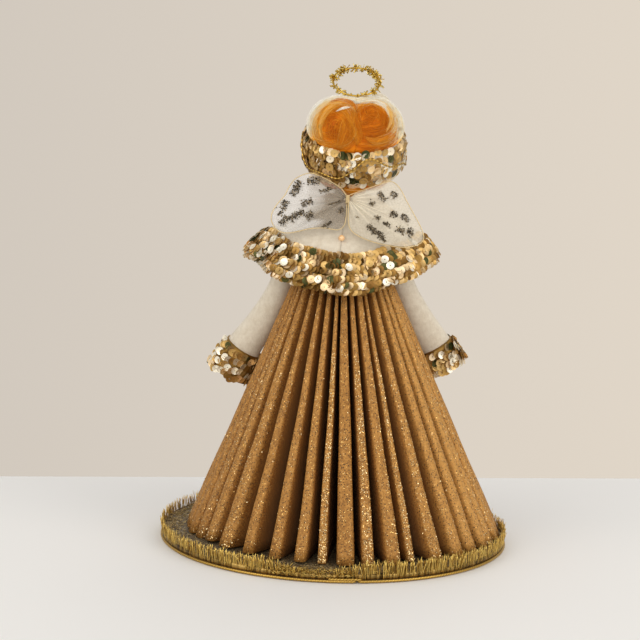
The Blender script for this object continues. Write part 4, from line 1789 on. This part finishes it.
# layer sets one net behind the other, shade is how grey the inner part is, and seed is the glitter's
WINGS = {"left": dict(side=-1, rim=LEFT_RIM, colour=(0.74, 0.72, 0.70, 1), fold=(0.60, 0.55, 0.47, 1),
                      alpha=0.29, seed=12, dabs=LEFT_DABS, layer=0.0, shade=0.85),
         "right": dict(side=1, rim=RIGHT_RIM, colour=(0.74, 0.67, 0.54, 1), fold=(0.84, 0.76, 0.60, 1),
                       alpha=0.40, seed=29, dabs=RIGHT_DABS, layer=-0.9, shade=0.12)}
wing_out = np.array([1.0, 0, 0])
wing_rise = unit(np.array([0, WING_LEAN, 1.0]))
wing_front = unit(np.array([0, 1.0, -WING_LEAN]))


# %% Wing shape
def wing_place(side, out, up, forward):
    """Out from the tie, up along the lean, and bowed forward toward the tip."""
    bow = WING_BOW * (out / WING_SPAN) ** 3
    return (WING_TIE + (side * out)[..., None] * wing_out + up[..., None] * wing_rise
            + (bow + forward)[..., None] * wing_front)


def wing_rim(shares, t, inset=0.0):
    """The outline as flat (out, up) points, moved inward by an inset."""
    outline = np.array(shares) * WING_SPAN
    heading = path_heading(outline, t)
    return smooth_path(outline, t) + np.stack([heading[..., 1], -heading[..., 0]], -1) * inset


def net_place(side, shares, u, v, through):
    """A point of the net: from the root toward the rim, with folds that fade outward."""
    rim = wing_rim(shares, 0.02 + 0.96 * u, NET_INSET)
    flat = NET_ROOT + (rim - NET_ROOT) * (0.05 + 0.95 * v)[..., None]
    fade = np.sin(np.pi * v) * (1 - 0.55 * v)
    fold = fade * (0.9 * np.sin(7 * np.pi * u) + 0.5 * np.sin(19 * np.pi * u + 2 * v))
    fold = fold + 0.35 * np.sin(31 * np.pi * u + 4 * v) * np.exp(-3 * v)
    return wing_place(side, flat[..., 0], flat[..., 1], fold + through)


def pleats(u, v):
    """How much net lies over itself: more near the tie, and more along the folds."""
    lines = 0.5 + 0.5 * np.sin(26 * np.pi * u + 3 * np.sin(4 * u) + 1.5 * v)
    return np.exp(-2.6 * v) * (0.28 + 0.34 * lines ** 2) + 0.07 * lines ** 3 * (1 - v)


def make_net_material(name, colour, fold_colour, alpha):
    """Fine net: mostly see-through, denser and warmer where it is gathered, greyer near the tie."""
    material, tree, shader = new_material(name, Roughness=0.7, Sheen_Weight=0.2)
    gathered = point_value(tree, "gathered")
    cover = ranged(tree, noise(tree, 700.0, 2.0), 0.35, 0.65, alpha - 0.06, alpha + 0.06)
    total = add(tree, "Math", {0: cover, 1: gathered}, operation="ADD", use_clamp=True).outputs[0]
    folded = blend_colours(tree, ranged(tree, gathered, 0.05, 0.45), colour, fold_colour)
    shaded = blend_colours(tree, point_value(tree, "shade"), folded, NET_GREY)
    set_inputs(tree, shader, {"Alpha": total, "Base Color": shaded})
    return material


def glitter_dabs(look, rng):
    """Flakes strewn over short leaning dabs of glue: a bell across each dab, nearly even along it."""
    dabs = np.array(look["dabs"], float)
    dabs[:, 2:4] *= DAB_GROWTH
    counts = np.maximum(dabs[:, 2] * dabs[:, 3] * FLAKES_PER_SQUARE, FEWEST_FLAKES).astype(int)
    out, up, length, width, lean = np.repeat(dabs, counts, axis=0).T
    lean = np.radians(lean)
    along = rng.uniform(-0.5, 0.5, len(out)) * length + rng.normal(0, 0.35, len(out))
    across = rng.normal(0, 0.36, len(out)) * width
    out = out + along * np.cos(lean) - across * np.sin(lean)
    up = up + along * np.sin(lean) + across * np.cos(lean)
    places = wing_place(look["side"], out, up, look["layer"] - GLITTER_LIFT)
    normals = np.broadcast_to(-wing_front, places.shape)
    return flakes(places, normals, rng.uniform(0.45, 1.0, len(out)), GLITTER_TILT, rng)


# %% Both wings
wing_wire_material = new_material("wing_wire", Base_Color=(0.74, 0.58, 0.32, 1), Metallic=0.6,
                                  Roughness=0.4)[0]
glitter_dark = tinted("wing_glitter", (0.035, 0.028, 0.022, 1), (0.42, 0.33, 0.21, 1), 0.38)
u, v = np.meshgrid(np.linspace(0, 1, NET_RAYS), np.linspace(0, 1, NET_RINGS))

for label, look in WINGS.items():
    side, layer, wing = look["side"], look["layer"], label + "_wing"
    front, back = [net_place(side, look["rim"], u, v, layer + half) for half in (NET_HALF, -NET_HALF)]
    net_material = make_net_material("wing_net_" + label, look["colour"], look["fold"], look["alpha"])
    reach = side * (front[..., 0] - WING_TIE[0])
    shade = look["shade"] * np.clip((26 + 4 * np.sin(9 * v + 5 * u) - reach) / 7, 0, 1)
    make_piece(wing + "_gauze", thick_sheet(front, back), net_material, wing, "wing_net", wing + "_net",
               gathered=np.tile(pleats(u, v).ravel(), 2), shade=np.tile(shade.ravel(), 2))
    rim = wing_rim(look["rim"], np.linspace(0, 1, RIM_POINTS))
    path = wing_place(side, rim[:, 0], rim[:, 1], layer)
    make_piece(wing + "_loop", bars(path[None], WIRE_RADIUS, sides=8, up=wing_front), wing_wire_material,
               wing, "wing_wire", wing + "_wire")
    rng = np.random.default_rng(look["seed"])
    shape = glitter_dabs(look, rng)
    tint = rng.uniform(0, 1, len(shape[0]) // 4) ** 2
    make_piece(wing + "_glitter", shape, glitter_dark, wing, "wing_net", smooth=False,
               tint=np.repeat(tint, 4))

# %% Wire wound round the wings' tie
TIE_RADIUS = 1.3
TIE_LENGTH = 6.0
TIE_TURNS, TIE_STEPS = 8, 18
TIE_WIRE_RADIUS = 0.36
t = np.linspace(0, 1, TIE_TURNS * TIE_STEPS)[:, None]
angle = 2 * np.pi * TIE_TURNS * t
coil = (WING_TIE + (t - 0.5) * TIE_LENGTH * wing_rise
        + TIE_RADIUS * (np.cos(angle) * wing_out + np.sin(angle) * wing_front))
make_piece("wing_tie_coil", bars(coil[None], TIE_WIRE_RADIUS, sides=6), wing_wire_material, "figure",
           "wing_wire", "wing_tie")

# %% [markdown]
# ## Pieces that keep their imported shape
# The rolled cover, the post, the foam, the pins, the halo's stem and the wires in the arms and
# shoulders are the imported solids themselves. They only get a material here.

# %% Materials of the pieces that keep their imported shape
plain_finish(grained("rolled_paper", (0.55, 0.49, 0.38, 1), (0.70, 0.64, 0.52, 1), 260.0, Roughness=0.85),
             "skirt_cover_roll")
plain_finish(grained("post_wood", (0.42, 0.26, 0.12, 1), (0.62, 0.42, 0.22, 1), 180.0, Roughness=0.6),
             "support_post")
plain_finish(grained("white_foam", (0.70, 0.68, 0.63, 1), (0.82, 0.81, 0.78, 1), 900.0, Roughness=0.9),
             "body_foam")
plain_finish(grained("pin_wire", (0.45, 0.38, 0.27, 1), (0.62, 0.54, 0.40, 1), 400.0, Metallic=0.9,
                     Roughness=0.35),
             "pearl_pin", "shoulder_wire", "left_arm_wire", "right_arm_wire", "halo_stem", "wing_pin")
